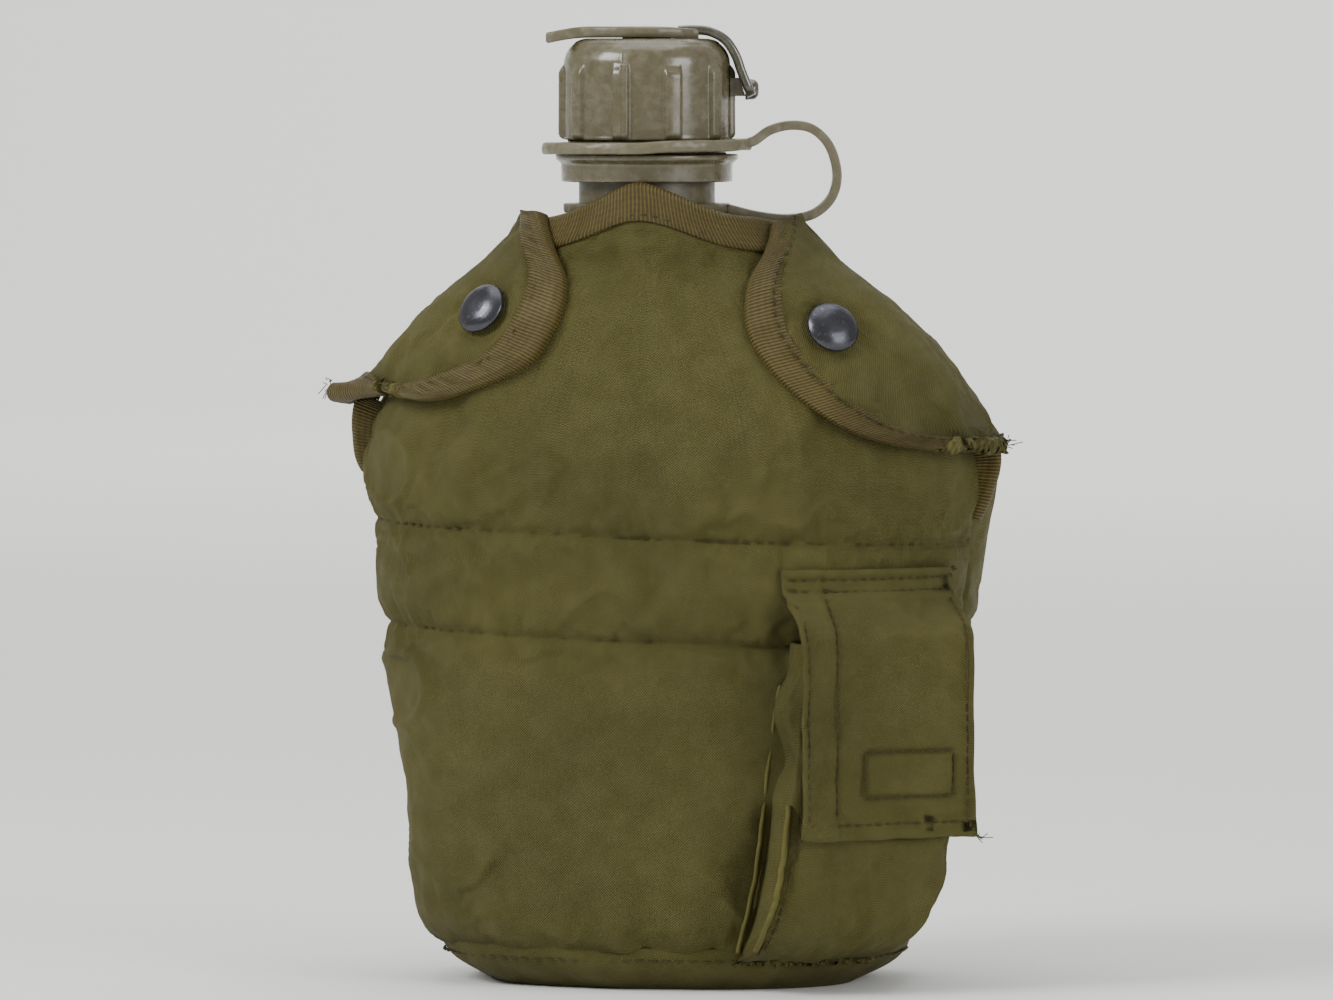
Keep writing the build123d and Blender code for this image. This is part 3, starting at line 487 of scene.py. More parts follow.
def metallic(name, colour, roughness, worn_colour, wear=0.5):
    """Plated or enamelled metal with cloudy roughness and rubbed bright specks."""
    made, tree, shader = start_material(name, colour, roughness, metallic=0.85)
    cloud = spread(tree, blur_noise(tree, 180.0, 5.0), 0.3, 0.75)
    specks = spread(tree, blur_noise(tree, 1100.0, 4.0, roughness=0.7), 0.58, 0.72)
    tone = mixed(tree, arithmetic(tree, "MULTIPLY", specks, wear), colour, worn_colour)
    tree.links.new(tone, shader.inputs["Base Color"])
    tree.links.new(
        spread(tree, cloud, 0.0, 1.0, roughness, roughness + 0.22), shader.inputs["Roughness"]
    )
    tree.links.new(bumped(tree, cloud, 0.2, 0.0002), shader.inputs["Normal"])
    return made


def fuzzy(name, dark, light, scale=1400.0):
    """Pile or hook tape: dense specks of light and shadow."""
    made, tree, shader = start_material(name, dark, 0.95, sheen=0.4, specular=0.2)
    specks = spread(tree, blur_noise(tree, scale, 4.0, roughness=0.7), 0.35, 0.65)
    tree.links.new(mixed(tree, specks, dark, light), shader.inputs["Base Color"])
    tree.links.new(bumped(tree, specks, 0.8, 0.0008), shader.inputs["Normal"])
    return made


NYLON = woven("nylon", (0.072, 0.064, 0.0125), (0.104, 0.094, 0.020), 0.00066, sheen=0.0, worn=0.2)
TAPE = woven("binding_tape", (0.074, 0.052, 0.011), (0.118, 0.092, 0.022), 0.00085, ribs=True, sheen=0.0,
             roughness=0.55, depth=1.0, worn=0.2)
WEBBING = woven(
    "webbing", (0.070, 0.058, 0.018), (0.100, 0.086, 0.028), 0.0011, roughness=0.7, sheen=0.0
)
PILE = fuzzy("pile", (0.12, 0.13, 0.07), (0.27, 0.28, 0.17))
HOOKS = fuzzy("hook_tape", (0.03, 0.03, 0.015), (0.12, 0.115, 0.06), 2200.0)
THREAD = woven("thread", (0.062, 0.050, 0.013), (0.095, 0.080, 0.022), 0.0004, roughness=0.6, sheen=0.0)
CAP_PLASTIC = moulded("cap_plastic", (0.080, 0.068, 0.032), roughness=0.24, coat=0.45)
STRAP_PLASTIC = moulded("strap_plastic", (0.098, 0.086, 0.046), roughness=0.4, coat=0.15)
# darker, glossier copy of the strap plastic: painted shade on the dust cover's strap and its rivet, which are
# the same plastic as the cover plate; the probe pin uses it too
SHADED_STRAP_PLASTIC = moulded("shaded_strap_plastic", (0.045, 0.043, 0.026), roughness=0.2, coat=0.6)
BOTTLE_PLASTIC = moulded("bottle_plastic", (0.072, 0.060, 0.026), roughness=0.38, coat=0.1)
GUNMETAL = metallic("gunmetal", (0.060, 0.060, 0.070), 0.2, (0.33, 0.33, 0.34), wear=0.35)
STEEL = metallic("enamelled_steel", (0.055, 0.055, 0.042), 0.42, (0.30, 0.29, 0.26), wear=0.4)
BRASS = metallic("brass", (0.42, 0.29, 0.11), 0.35, (0.62, 0.48, 0.25), wear=0.4)
RUBBER = moulded("rubber", (0.02, 0.02, 0.02), roughness=0.7, coat=0.0)


def dress(obj, material):
    obj.data.materials.clear()
    obj.data.materials.append(material)
    return obj


def name_piece(obj, material, nodes=()):
    """Gives a piece its material and hides the CAD nodes that it stands for."""
    dress(obj, material)
    if nodes:
        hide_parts(*nodes)
    return obj


def place_piece(obj, material, body, nodes=()):
    """Gives a piece its material, hides its CAD nodes and lets it ride on one body."""
    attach(obj, body)
    return name_piece(obj, material, nodes)


def node_heights(node):
    """A CAD node's lowest and highest level in millimetres."""
    return [corner[2] * 1000 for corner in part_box(node)]


STRAP_AZIMUTH = radians(9)
RIB_COUNT = 10
RIB_START = radians(-99)
OUT = np.array([cos(STRAP_AZIMUTH), sin(STRAP_AZIMUTH), 0.0])  # the way the strap points
SIDE = np.array([-sin(STRAP_AZIMUTH), cos(STRAP_AZIMUTH), 0.0])
UP = np.array([0.0, 0.0, 1.0])


def lathe(profile, steps=256, shift=None):
    """Rows of points round the neck's axis from (radius, height) pairs in millimetres."""
    angle = np.linspace(0, 2 * pi, steps, endpoint=False)
    profile = np.asarray(profile, float)
    radius = np.repeat(profile[:, :1], steps, axis=1)
    height = np.repeat(profile[:, 1:], steps, axis=1)
    if shift is not None:
        radius = radius + shift(angle[None, :], height)
    return np.stack([radius * np.cos(angle), radius * np.sin(angle), height], axis=-1)


def rounded(points, radius, steps=5):
    """A (radius, height) outline with every inner corner rounded."""
    points = [np.asarray(p, float) for p in points]
    made = [points[0]]
    for before, corner, after in zip(points, points[1:], points[2:]):
        a = before - corner
        b = after - corner
        reach = min(radius, 0.45 * np.linalg.norm(a), 0.45 * np.linalg.norm(b))
        start = corner + a / np.linalg.norm(a) * reach
        end = corner + b / np.linalg.norm(b) * reach
        for t in np.linspace(0, 1, steps):
            made.append((1 - t) ** 2 * start + 2 * t * (1 - t) * corner + t * t * end)
    made.append(points[-1])
    return np.array(made)


def densify(profile, longest=0.6):
    made = [profile[0]]
    for a, b in zip(profile, profile[1:]):
        pieces = max(1, int(np.ceil(np.linalg.norm(b - a) / longest)))
        for t in np.linspace(0, 1, pieces + 1)[1:]:
            made.append(a + (b - a) * t)
    return np.array(made)


def make_cap():
    """Ribbed cap: ten rounded grip ribs, a moulding line down the front one, skirt and lip."""
    low, high = node_heights("cap_body")
    wall = 20.2
    outline = rounded([
        (17.6, low + 1), (17.7, low), (20.5, low), (
            20.6, low + 4.4
        ), (21.9, low + 5.4), (21.9, low + 6.6),
        (18.95, low + 6.7), (18.95, low + 10.0), (wall, low + 10.2),
    ], 0.45)
    outline = np.concatenate([
        outline, np.array([(wall, z) for z in np.linspace(low + 10.8, high - 7.2, 30)]),
    ])
    turn = np.linspace(0, pi / 2, 18)
    shoulder = 6.2
    arc = np.stack(
        [wall - shoulder + shoulder * np.cos(turn), high - shoulder + shoulder * np.sin(turn)],
        axis=-1
    )
    top = np.array([(12.0, high), (9.9, high), (9.6, high - 0.15), (9.55, high - 0.6), (9.55, high - 5.8)])
    profile = np.concatenate([densify(outline, 0.7), arc, top])

    def ribs(angle, height):
        spacing = 2 * pi / RIB_COUNT
        off = (angle - RIB_START + spacing / 2) % spacing - spacing / 2
        index = np.round((angle - RIB_START) / spacing).astype(int) % RIB_COUNT
        away = np.abs(off) * wall
        rib_top = high - 6.6 - 0.5 * (index % 3 == 1)
        rib_top = rib_top + np.where((index == 0) & (off > 0), 0.9, 0.0)
        section = 1.0 / (1.0 + np.exp((away - 2.0) / 0.13))
        crown = 1.0 - 0.12 * (away / 2.15) ** 2
        ends = np.clip((rib_top - height) / 1.6, 0, 1) ** 0.5 * np.clip(
            (height - (low + 10.4)) / 0.5, 0, 1
        )
        line = 0.16 * bump(off * wall - 0.15, 0.16) * (np.cos(angle - RIB_START) > 0.9)
        body = (height > low + 10.2) & (height < high - 1.0)
        slight = 0.04 * noise(angle * 9, height / 6, 3)
        return np.where(
            body,
            section * crown * ends * 1.3 - 0.25 + line * np.clip((high - 3 - height) / 3, 0, 1) + slight,
            0
        )

    points = lathe(profile, 720, ribs)
    cap = grid_object("cap", points, closed=True)
    place_piece(cap, CAP_PLASTIC, "cap", ["cap_body"])
    inner = rounded([(17.6, low + 1), (17.6, high - 5.8), (9.55, high - 5.8)], 0.4)
    inside = grid_object("cap_inside", lathe(inner[::-1], 128), closed=True)
    place_piece(inside, CAP_PLASTIC, "cap")
    angle = np.linspace(0, 2.2 * pi, 140)
    helix = np.stack([16.9 * np.cos(angle), 16.9 * np.sin(angle), low + 9.5 + 2.5 * angle / pi], axis=-1)
    thread = joined("cap_thread", [tube(helix, 0.9, 8)])
    place_piece(thread, CAP_PLASTIC, "cap")


def ribbon(name, path, width, thickness, across, edge=0.35, wander=0.0, seed=0):
    """Flat strap along a path in millimetres, with rounded edges; across is its width's direction."""
    path = np.asarray(path, float)
    along = unit(np.gradient(path, axis=0))
    across = np.broadcast_to(across, path.shape)
    face = unit(np.cross(along, across))
    width = np.broadcast_to(width, (len(path),))
    half = thickness / 2
    corner = min(edge, half * 0.95)
    section = []
    for sx, sy, start in ((1, 1, 0), (-1, 1, pi / 2), (-1, -1, pi), (1, -1, 3 * pi / 2)):
        for t in np.linspace(start, start + pi / 2, 4):
            section.append((sx, sy, corner * np.cos(t), corner * np.sin(t)))
    rows = []
    for i, p in enumerate(path):
        w = width[i] / 2
        rough = wander * noise(i * 0.35, 0.5, seed)
        row = [p + across[i] * (sx * (w - corner) + dx + rough * sx) + face[i] * (sy * (half - corner) + dy)
               for sx, sy, dx, dy in section]
        rows.append(row)
    rows = np.array(rows)
    obj = grid_object(name, rows, closed=True)
    mesh = obj.data
    count = rows.shape[1]
    faces = [tuple(p.vertices) for p in mesh.polygons]
    last = (len(path) - 1) * count
    faces.append(tuple(range(count - 1, -1, -1)))
    faces.append(tuple(last + j for j in range(count)))
    made = new_object(name + "_closed", [v.co for v in mesh.vertices], faces)
    bpy.data.objects.remove(obj)
    bpy.data.meshes.remove(mesh)
    made.name = name
    return made


def curve_through(points, steps=80):
    """Even points along a smooth curve through a few points."""
    points = np.asarray(points, float)
    gaps = np.linalg.norm(np.diff(points, axis=0), axis=1) ** 0.5
    keys = np.concatenate([[0], np.cumsum(gaps)])
    table = np.concatenate([keys[:, None], points], axis=1)
    fine = smooth_rows(table, np.linspace(0, keys[-1], steps * 6))
    length = np.concatenate([[0], np.cumsum(np.linalg.norm(np.diff(fine, axis=0), axis=1))])
    at = np.linspace(0, length[-1], steps)
    return np.stack([np.interp(at, length, fine[:, k]) for k in range(points.shape[1])], axis=-1)


def radial(points):
    """Points given as radius and height in the strap's plane."""
    points = np.asarray(points, float)
    return OUT * points[:, :1] + UP * points[:, 1:]


def make_leash():
    """Ring in the cap's groove, ring on the neck and the free loop that joins them."""
    low, high = node_heights("strap_cap_ring")
    middle = (low + high) / 2

    def trimmed(angle, height):
        return 0.16 * noise(angle * 11, height * 0.8, 4) + 0.10 * noise(angle * 41, height, 6)

    outline = densify(
        rounded(
            [
                (19.25, middle), (19.25, low + 0.1), (25.0, low), (25.3, middle), (24.9, high),
                (19.3, high), (19.25, middle)
            ],
            0.5
        ),
        0.5
    )
    points = lathe(outline, 300, trimmed)
    away = np.arctan2(points[..., 1], points[..., 0]) - STRAP_AZIMUTH
    points[..., 2] += 0.5 * np.cos(away) + 0.15 * noise(away * 3, 0.0, 2)
    ring = grid_object("leash_cap_ring", points, closed=True)
    place_piece(ring, STRAP_PLASTIC, "cap_collar", ["strap_cap_ring"])
    neck_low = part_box("strap_neck_ring")[0][2] * 1000
    outline = densify(
        rounded(
            [
                (16.7, neck_low + 1), (16.8, neck_low), (19.9, neck_low), (20.0, neck_low + 2.2),
                (16.8, neck_low + 2.2), (16.7, neck_low + 1)
            ],
            0.4
        ),
        0.5
    )
    neck_ring = grid_object("leash_neck_ring", lathe(outline, 200, trimmed), closed=True)
    place_piece(neck_ring, STRAP_PLASTIC, "canteen", ["strap_neck_ring"])
    route = curve_through(radial([
        (
            22.6, middle + 0.5
        ), (25.6, middle + 1.3), (29.5, middle + 3.9), (34.5, middle + 5.1), (39.5, middle + 4.3),
        (
            43.6, middle + 0.4
        ), (45.6, 194.0), (44.2, 188.6), (40.2, 184.9), (34.5, 183.6), (27.0, 184.2), (19.0, 186.1),
    ]), 120)
    share = np.linspace(0, 1, len(route))
    width = 10.5 + 3.5 * bump(share, 0.08) + 1.5 * bump(share - 1, 0.08)
    loop = ribbon("leash_loop", route, width, 2.2, SIDE, wander=0.25, seed=5)
    name_piece(loop, STRAP_PLASTIC, ["strap_loop"])
    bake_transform(loop)


def make_dust_cover():
    """Faceted cover plate with its drooping pull tongue and the strap over the cap's shoulder."""
    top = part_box("dust_cover")[1][2] / MM - 0.1
    under = top - 2.6
    edge = np.array([
        (-24.2, -4.6), (-24.2, 4.6), (-22.6, 5.5), (-15.5, 5.6), (-12.6, 8.4), (-7.5, 11.8),
        (2.5, 12.2), (8.6, 9.6), (11.2, 6.4), (12.4, 6.0), (12.4, -6.0), (11.2, -6.4),
        (8.6, -9.6), (2.5, -12.2), (-7.5, -11.8), (-12.6, -8.4), (-15.5, -5.6), (-22.6, -5.5),
    ])
    fine = []
    for a, b in zip(edge, np.roll(edge, -1, axis=0)):
        for t in np.linspace(0, 1, 9)[:-1]:
            fine.append(a + (b - a) * t)
    fine = np.array(fine)
    rows = []
    for inset, drop in ((0.0, 2.3), (0.0, 0.55), (0.18, 0.15), (0.6, 0.0), (1.3, 0.0)):
        inward = -unit(fine) * inset
        rows.append((fine + inward, drop))
    for share in (0.75, 0.5, 0.25, 0.02):
        rows.append((fine * share, 0.0))
    below = [(fine - unit(fine) * i, d) for i, d in ((0.5, 2.6), (3.0, 2.6))]
    rows = below[::-1] + rows

    def lift(plan, drop):
        u, v = plan[:, 0], plan[:, 1]
        droop = 1.3 * np.clip((-u - 13.5) / 10.0, 0, 1) ** 2
        curl = 0.5 * np.clip((u - 6) / 6, 0, 1)
        z = top - drop - droop - curl + 0.12 * noise(u / 7, v / 7, 8)
        return OUT * u[:, None] + SIDE * v[:, None] + UP * z[:, None]

    points = np.array([lift(plan, drop) for plan, drop in rows])
    plate = grid_object("dust_cover_plate", points, closed=True)
    place_piece(plate, STRAP_PLASTIC, "dust_cover", ["dust_cover"])
    plug = rounded([(5.9, under), (5.9, under - 1.7), (5.3, under - 2.1), (0.05, under - 2.1)], 0.4)
    plug = grid_object("dust_cover_plug", lathe(plug, 64), closed=True)
    place_piece(plug, RUBBER, "dust_cover")
    route = curve_through(radial([
        (7.5, top - 0.9), (11.0, top - 0.75), (15.0, top - 1.15), (18.7, top - 3.1), (21.2, top - 6.7),
        (22.6, top - 10.5), (24.0, top - 14.0), (25.2, top - 16.6),
    ]), 60)
    share = np.linspace(0, 1, len(route))
    width = 12.0 * np.sqrt(np.clip(1 - np.clip((share - 0.9) / 0.1, 0, 1) ** 2 * 0.75, 0, 1))
    strap = ribbon("dust_cover_strap", route, width, 2.3, SIDE, edge=0.9)
    # the strap takes the darker copy of the plate's plastic: painted shade where it turns down over the cap's
    # shoulder
    name_piece(strap, SHADED_STRAP_PLASTIC, ["cover_anchor"])
    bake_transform(strap)
    head = rounded([(0.02, 1.9), (1.6, 1.75), (2.4, 0.9), (2.6, -1.4)], 0.4)
    head = lathe(head, 32)
    turn = Matrix.Rotation(STRAP_AZIMUTH, 3, "Z") @ Matrix.Rotation(pi / 2, 3, "Y")
    centre = OUT * 25.0 + UP * 214.6
    rivet = grid_object(
        "strap_rivet",
        np.array([[np.array(turn @ Vector(p)) + centre for p in row] for row in head]), closed=True
    )
    place_piece(rivet, SHADED_STRAP_PLASTIC, "cap")


def make_snaps():
    """Domed snap buttons on the two flaps."""
    for side in ("left", "right"):
        axis = snap_axis(side)
        profile = np.array([
            (0.02, 2.35), (1.2, 2.33), (2.6, 2.2), (4.0, 1.85), (5.0, 1.4), (5.7, 0.95),
            (6.2, 0.5), (6.45, 0.1), (6.35, -0.3), (5.8, -0.45), (1.5, -0.5),
        ])
        points = lathe(densify(profile, 0.5), 96)
        turn = Vector((0, 0, 1)).rotation_difference(Vector(axis)).to_matrix()
        base = snap_spot(side) + axis * (FLAP_HEIGHT + 1.0)
        points = points @ np.array(turn).T + base
        button = grid_object(f"{side}_snap_button", points, closed=True)
        place_piece(button, GUNMETAL, f"{side}_flap", [f"{side}_snap_cap"])
        well = tube([base - axis * 3.2, base - axis * 0.4], 1.7, 16)
        post = joined(f"{side}_snap_rivet", [well])
        place_piece(post, GUNMETAL, f"{side}_flap")


# ---------------------------------------------------------------- cloth
def swell(points, pinned, cap, pressure, slack):
    """Cloth simulation of a padded grid held at its pinned points; gives how far each point moves."""
    if cap == 0:
        return np.zeros_like(points)
    obj = grid_object("swelling", points)
    before = vertices_mm(obj)
    settle(obj, pinned.reshape(-1).astype(float), cap, pressure, slack)
    moved = (vertices_mm(obj) - before).reshape(points.shape)
    mesh = obj.data
    bpy.data.objects.remove(obj)
    bpy.data.meshes.remove(mesh)
    return moved


def finer(values, times):
    """Values on a grid, interpolated onto one that is finer by a whole number of times."""
    rows, columns = values.shape[:2]
    i = np.linspace(0, rows - 1, (rows - 1) * times + 1)
    j = np.linspace(0, columns - 1, (columns - 1) * times + 1)
    i0, j0 = np.minimum(i.astype(int), rows - 2), np.minimum(j.astype(int), columns - 2)
    fi, fj = (i - i0)[:, None, None], (j - j0)[None, :, None]
    fi, fj = fi * fi * (3 - 2 * fi), fj * fj * (3 - 2 * fj)
    at = lambda a, b: values[a][:, b]
    low = at(i0, j0) * (1 - fj) + at(i0, j0 + 1) * fj
    high = at(i0 + 1, j0) * (1 - fj) + at(i0 + 1, j0 + 1) * fj
    return low * (1 - fi) + high * fi


def soft_grid(
    name, place, rows, columns, times=2, cap=0, pressure=4.0, slack=-0.03, seams=None, detail=None
):
    """Padded cloth: a coarse shaped grid is swollen a little, and the fine mesh then gets its detail.

    place(a, b) gives points for a down the rows and b along the columns, both from 0 to 1.
    seams(a, b) is 1 where the cloth is sewn down; detail(a, b) is a height in millimetres.
    cap is how far the simulation may move a point; at 0 the cloth is laid without one.
    """
    a = np.linspace(0, 1, rows)[:, None]
    b = np.linspace(0, 1, columns)[None, :]
    a, b = np.broadcast_arrays(a, b)
    pinned = np.zeros(a.shape)
    pinned[[0, -1], :] = 1
    pinned[:, [0, -1]] = 1
    if seams is not None:
        pinned = np.maximum(pinned, seams(a, b))
    moved = swell(place(a, b), pinned, cap, pressure, slack)
    a = np.linspace(0, 1, (rows - 1) * times + 1)[:, None]
    b = np.linspace(0, 1, (columns - 1) * times + 1)[None, :]
    a, b = np.broadcast_arrays(a, b)
    points = place(a, b) + finer(moved, times)
    if detail is not None:
        normal = unit(np.cross(np.gradient(points, axis=1), np.gradient(points, axis=0)))
        points = points + normal * detail(a, b)[..., None]
    return grid_object(name, points)


def edge_tape(
    name, spine, width, outer, inner, outward, seed, thickness=0.55, inner_width=None, sag=0.25
):
    """Tape folded over a cloth edge. spine(q) gives the points that lie q millimetres in from the edge.

    outer and inner are the tape's distances from those points on its two sides.
    """
    inner_width = inner_width or width * 0.9
    edge = spine(0.0)
    inward = unit(spine(1.0) - edge)
    along = np.gradient(edge, axis=0)
    normal = unit(np.cross(along, inward))
    if (normal * outward).sum(axis=-1).mean() < 0:
        normal = -normal
    length = np.concatenate([[0], np.cumsum(np.linalg.norm(np.diff(edge, axis=0), axis=1))])
    radius = (outer + inner) / 2
    middle = (outer - inner) / 2
    columns = []
    for q in np.linspace(width, radius * 0.8, 12):
        inset = np.clip((width - q) / 1.6, 0, 1) ** 0.5
        ruffle = sag * noise(length / 5.5, q / 6 + 3, seed) + 0.18 * noise(length / 1.9, q / 3, seed + 1)
        ragged = 0.35 * noise(length / 7.0, 0.5, seed + 2) * (q / width) ** 2
        high = (outer - 0.35 * (1 - inset)) + ruffle * inset
        columns.append(spine(q) + inward * ragged[:, None] + normal * high[:, None])
    for turn in np.linspace(pi / 2, -pi / 2, 9)[1:-1]:
        drop = radius * 0.8 * (1 - np.cos(turn))
        wave = 0.3 * noise(length / 6.5, 0.5, seed + 3)
        high = middle + radius * np.sin(turn)
        columns.append(edge + inward * (drop + wave - 0.2)[:, None] + normal * high)
    for q in np.linspace(radius * 0.8, inner_width, 8):
        columns.append(spine(q) - normal * inner)
    points = np.stack(columns, axis=1)
    across = np.concatenate([[0], np.cumsum(np.linalg.norm(np.diff(points.mean(axis=0), axis=0), axis=1))])
    uvs = np.stack(np.broadcast_arrays(length[:, None], across[None, :]), axis=-1) * MM
    tape = grid_object(name, points, uvs=uvs)
    thicken(tape, thickness)
    stitch_line = spine(width - 1.5) + normal * (outer + 0.05)
    return tape, stitch_line, normal


def threads(name, roots, outward, length=4.0, count=7, spread_out=0.6, seed=1, radius=0.11):
    """Loose frayed threads that curl away from a few roots."""
    random = np.random.RandomState(seed)
    parts = []
    for root, way in zip(roots, outward):
        for _ in range(count):
            heading = unit(np.asarray(way, float) + random.normal(0, spread_out, 3))
            bend = random.normal(0, 0.9, 3)
            size = length * random.uniform(0.35, 1.1)
            t = np.linspace(0, 1, 8)[:, None]
            start = np.asarray(root, float) + random.normal(0, 0.5, 3)
            parts.append(tube(start + heading * t * size + bend * t * t * size * 0.4, radius, 5))
    return joined(name, parts)


def sides_of(points):
    """Outward-looking normals of points, away from the cover's middle line."""
    centre = np.array([4.0, 8.0, 0.0])
    away = points - centre
    away[..., 2] = 0
    return unit(away)


# front, back and base
def front_place(a, b):
    """Front panel: a runs from the base seam up to the collar, b from the left seam to the right one."""
    s = 2 * b - 1
    reach = float(seam_share(COLLAR_LEVEL)[0])
    x = flat_point(s * reach, COLLAR_LEVEL)[..., 0]
    top = smooth_rows(COLLAR_EDGE, x)[..., 0]
    z = BASE_SEAM_Z + (top - BASE_SEAM_Z) * a
    w = s * np.interp(z, LEVELS, seam_share(LEVELS))
    return w, z, top


def row_distance(x, z, row):
    return z - (row[0] + row[1] * x)


def panel_height(w, z, x, edges, rows, seed):
    """Height of a quilted panel above the bare surface; edges are its distances from its seams."""
    near = edges
    for row in rows:
        near = np.minimum(near, np.abs(row_distance(x, z, row)))
    height = -1.0 + 1.7 * (1 - np.exp(-near / 4.5))
    height = height + 0.5 * noise(w * 13, z / 21, seed) * np.clip(near / 8, 0, 1)
    for row in rows:
        d = row_distance(x, z, row)
        height = height + 0.42 * ridges(
            w * 95 + 0.02 * z, d / 9, seed + 1
        ) * bump(d - 2.5 * np.sign(d), 4.0)
    low = np.clip((34 - z) / 25, 0, 1)
    height = height + 0.7 * low * noise(w * 38, z / 15, seed + 2)
    slant = ridges((x + 0.8 * z) / 17, (z - 0.8 * x) / 40, seed + 3)
    height = height + 0.35 * slant * np.clip(near / 7, 0, 1)
    return height


def front_panel():
    def place(a, b):
        w, z, top = front_place(a, b)
        x = flat_point(w, z)[..., 0]
        side = (1 - np.abs(2 * b - 1)) * 105
        edges = np.minimum(np.minimum(side, z - BASE_SEAM_Z), top - z)
        height = panel_height(w, z, x, edges, (ROW_ONE, ROW_TWO), 0)
        between = (row_distance(x, z, ROW_ONE) < 0) & (row_distance(x, z, ROW_TWO) > 0)
        folds = ridges((x + 0.9 * z) / 11, (z - x) / 34, 5)
        height = height + np.where(between, 0.55 * folds * np.clip(edges / 6, 0, 1), 0)
        pull = ridges((x - 1.6 * z) / 13, (z + x) / 50, 7) * bump(x + 50, 26) * bump(z - 126, 15)
        height = height + 0.6 * pull
        fan = ridges((x * 1.3 + z) / 12, (z - x) / 45, 9) * bump(x - 38, 22) * bump(z - 60, 16)
        height = height + 0.5 * fan
        for cx, cz, rx, rz in ((-61.5, 124.0, 7.0, 8.5), (-57.5, 71.0, 7.5, 9.0)):
            oval = np.hypot((x - cx) / rx, (z - cz) / rz)
            height = height + 0.75 * bump(oval - 1, 0.16) - 0.3 * bump(oval, 0.7)
        return on_surface(w, z, height)

    def seams(a, b):
        w, z, top = front_place(a, b)
        x = flat_point(w, z)[..., 0]
        nearest = np.minimum(np.abs(row_distance(x, z, ROW_ONE)), np.abs(row_distance(x, z, ROW_TWO)))
        return ((nearest < 0.9) | (top - z < 9)).astype(float)

    def detail(a, b):
        w, z, _ = front_place(a, b)
        x = flat_point(w, z)[..., 0]
        height = 0.10 * noise(x / 3.2, z / 3.2, 4) + 0.06 * noise(x / 1.5, z / 1.5, 5)
        for row in (ROW_ONE, ROW_TWO):
            d = row_distance(x, z, row)
            height = height - 0.35 * bump(d, 0.8) + 0.22 * noise(x / 2.3, d / 6, 6) * bump(d, 4)
        return height + 0.3 * noise(x / 5, z / 9, 8) * bump(z - BASE_SEAM_Z, 9)

    panel = soft_grid("front_panel", place, 120, 150, cap=1.5, seams=seams, detail=detail)
    thicken(panel, 1.2)
    place_piece(panel, NYLON, "canteen", ["cover_front"])
    lines, normals = [], []
    for row in (ROW_ONE, ROW_TWO):
        w = np.linspace(-0.235, 0.235, 300)
        z = row[0] + row[1] * flat_point(w, np.full(300, row[0]))[..., 0]
        lines.append(on_surface(w, z, np.full(300, -1.35)))
        normals.append(surface_normal(w, z))
    sewn = stitches("front_stitches", lines, normals, pitch=3.0, length=2.1, radius=0.26)
    place_piece(sewn, THREAD, "canteen")


def back_panel():
    def where(a, b):
        z = BASE_SEAM_Z + (REAR_EDGE_Z + 0.5 - BASE_SEAM_Z) * a
        seam = np.interp(z, LEVELS, seam_share(LEVELS))
        return seam + (1 - 2 * seam) * b, z

    def place(a, b):
        w, z = where(a, b)
        x = flat_point(w, z)[..., 0]
        side = (1 - np.abs(2 * b - 1)) * 100
        edges = np.minimum(np.minimum(side, z - BASE_SEAM_Z), REAR_EDGE_Z + 1 - z)
        return on_surface(w, z, panel_height(w, z, x, edges, ((148.0, 0.0), (60.0, 0.0)), 6))

    def seams(a, b):
        w, z = where(a, b)
        x = flat_point(w, z)[..., 0]
        patch = (np.minimum(np.abs(x + 27), np.abs(x - 37)) < 17) & (z > 84) & (z < 117)
        rows = (np.abs(z - 148) < 0.9) | (np.abs(z - 60) < 0.9)
        return (rows | (z > REAR_EDGE_Z - 9) | patch).astype(float)

    def detail(a, b):
        w, z = where(a, b)
        x = flat_point(w, z)[..., 0]
        height = 0.10 * noise(x / 3.2, z / 3.2, 4) + 0.25 * noise(x / 6, z / 12, 5)
        for level in (148, 60):
            height = height - 0.35 * bump(z - level, 0.8) + 0.2 * noise(
                x / 2.3, 0.5, 6
            ) * bump(z - level, 4)
        return height

    panel = soft_grid("back_panel", place, 96, 110, cap=1.2, seams=seams, detail=detail)
    thicken(panel, 1.2)
    place_piece(panel, NYLON, "canteen", ["cover_back"])
    w = np.linspace(0.29, 0.71, 300)
    lines = [on_surface(w, np.full(300, z), np.full(300, -1.35)) for z in (148.0, 60.0)]
    normals = [surface_normal(w, np.full(300, z)) for z in (148.0, 60.0)]
    sewn = stitches("back_stitches", lines, normals, pitch=3.0, length=2.1, radius=0.26)
    place_piece(sewn, THREAD, "canteen")


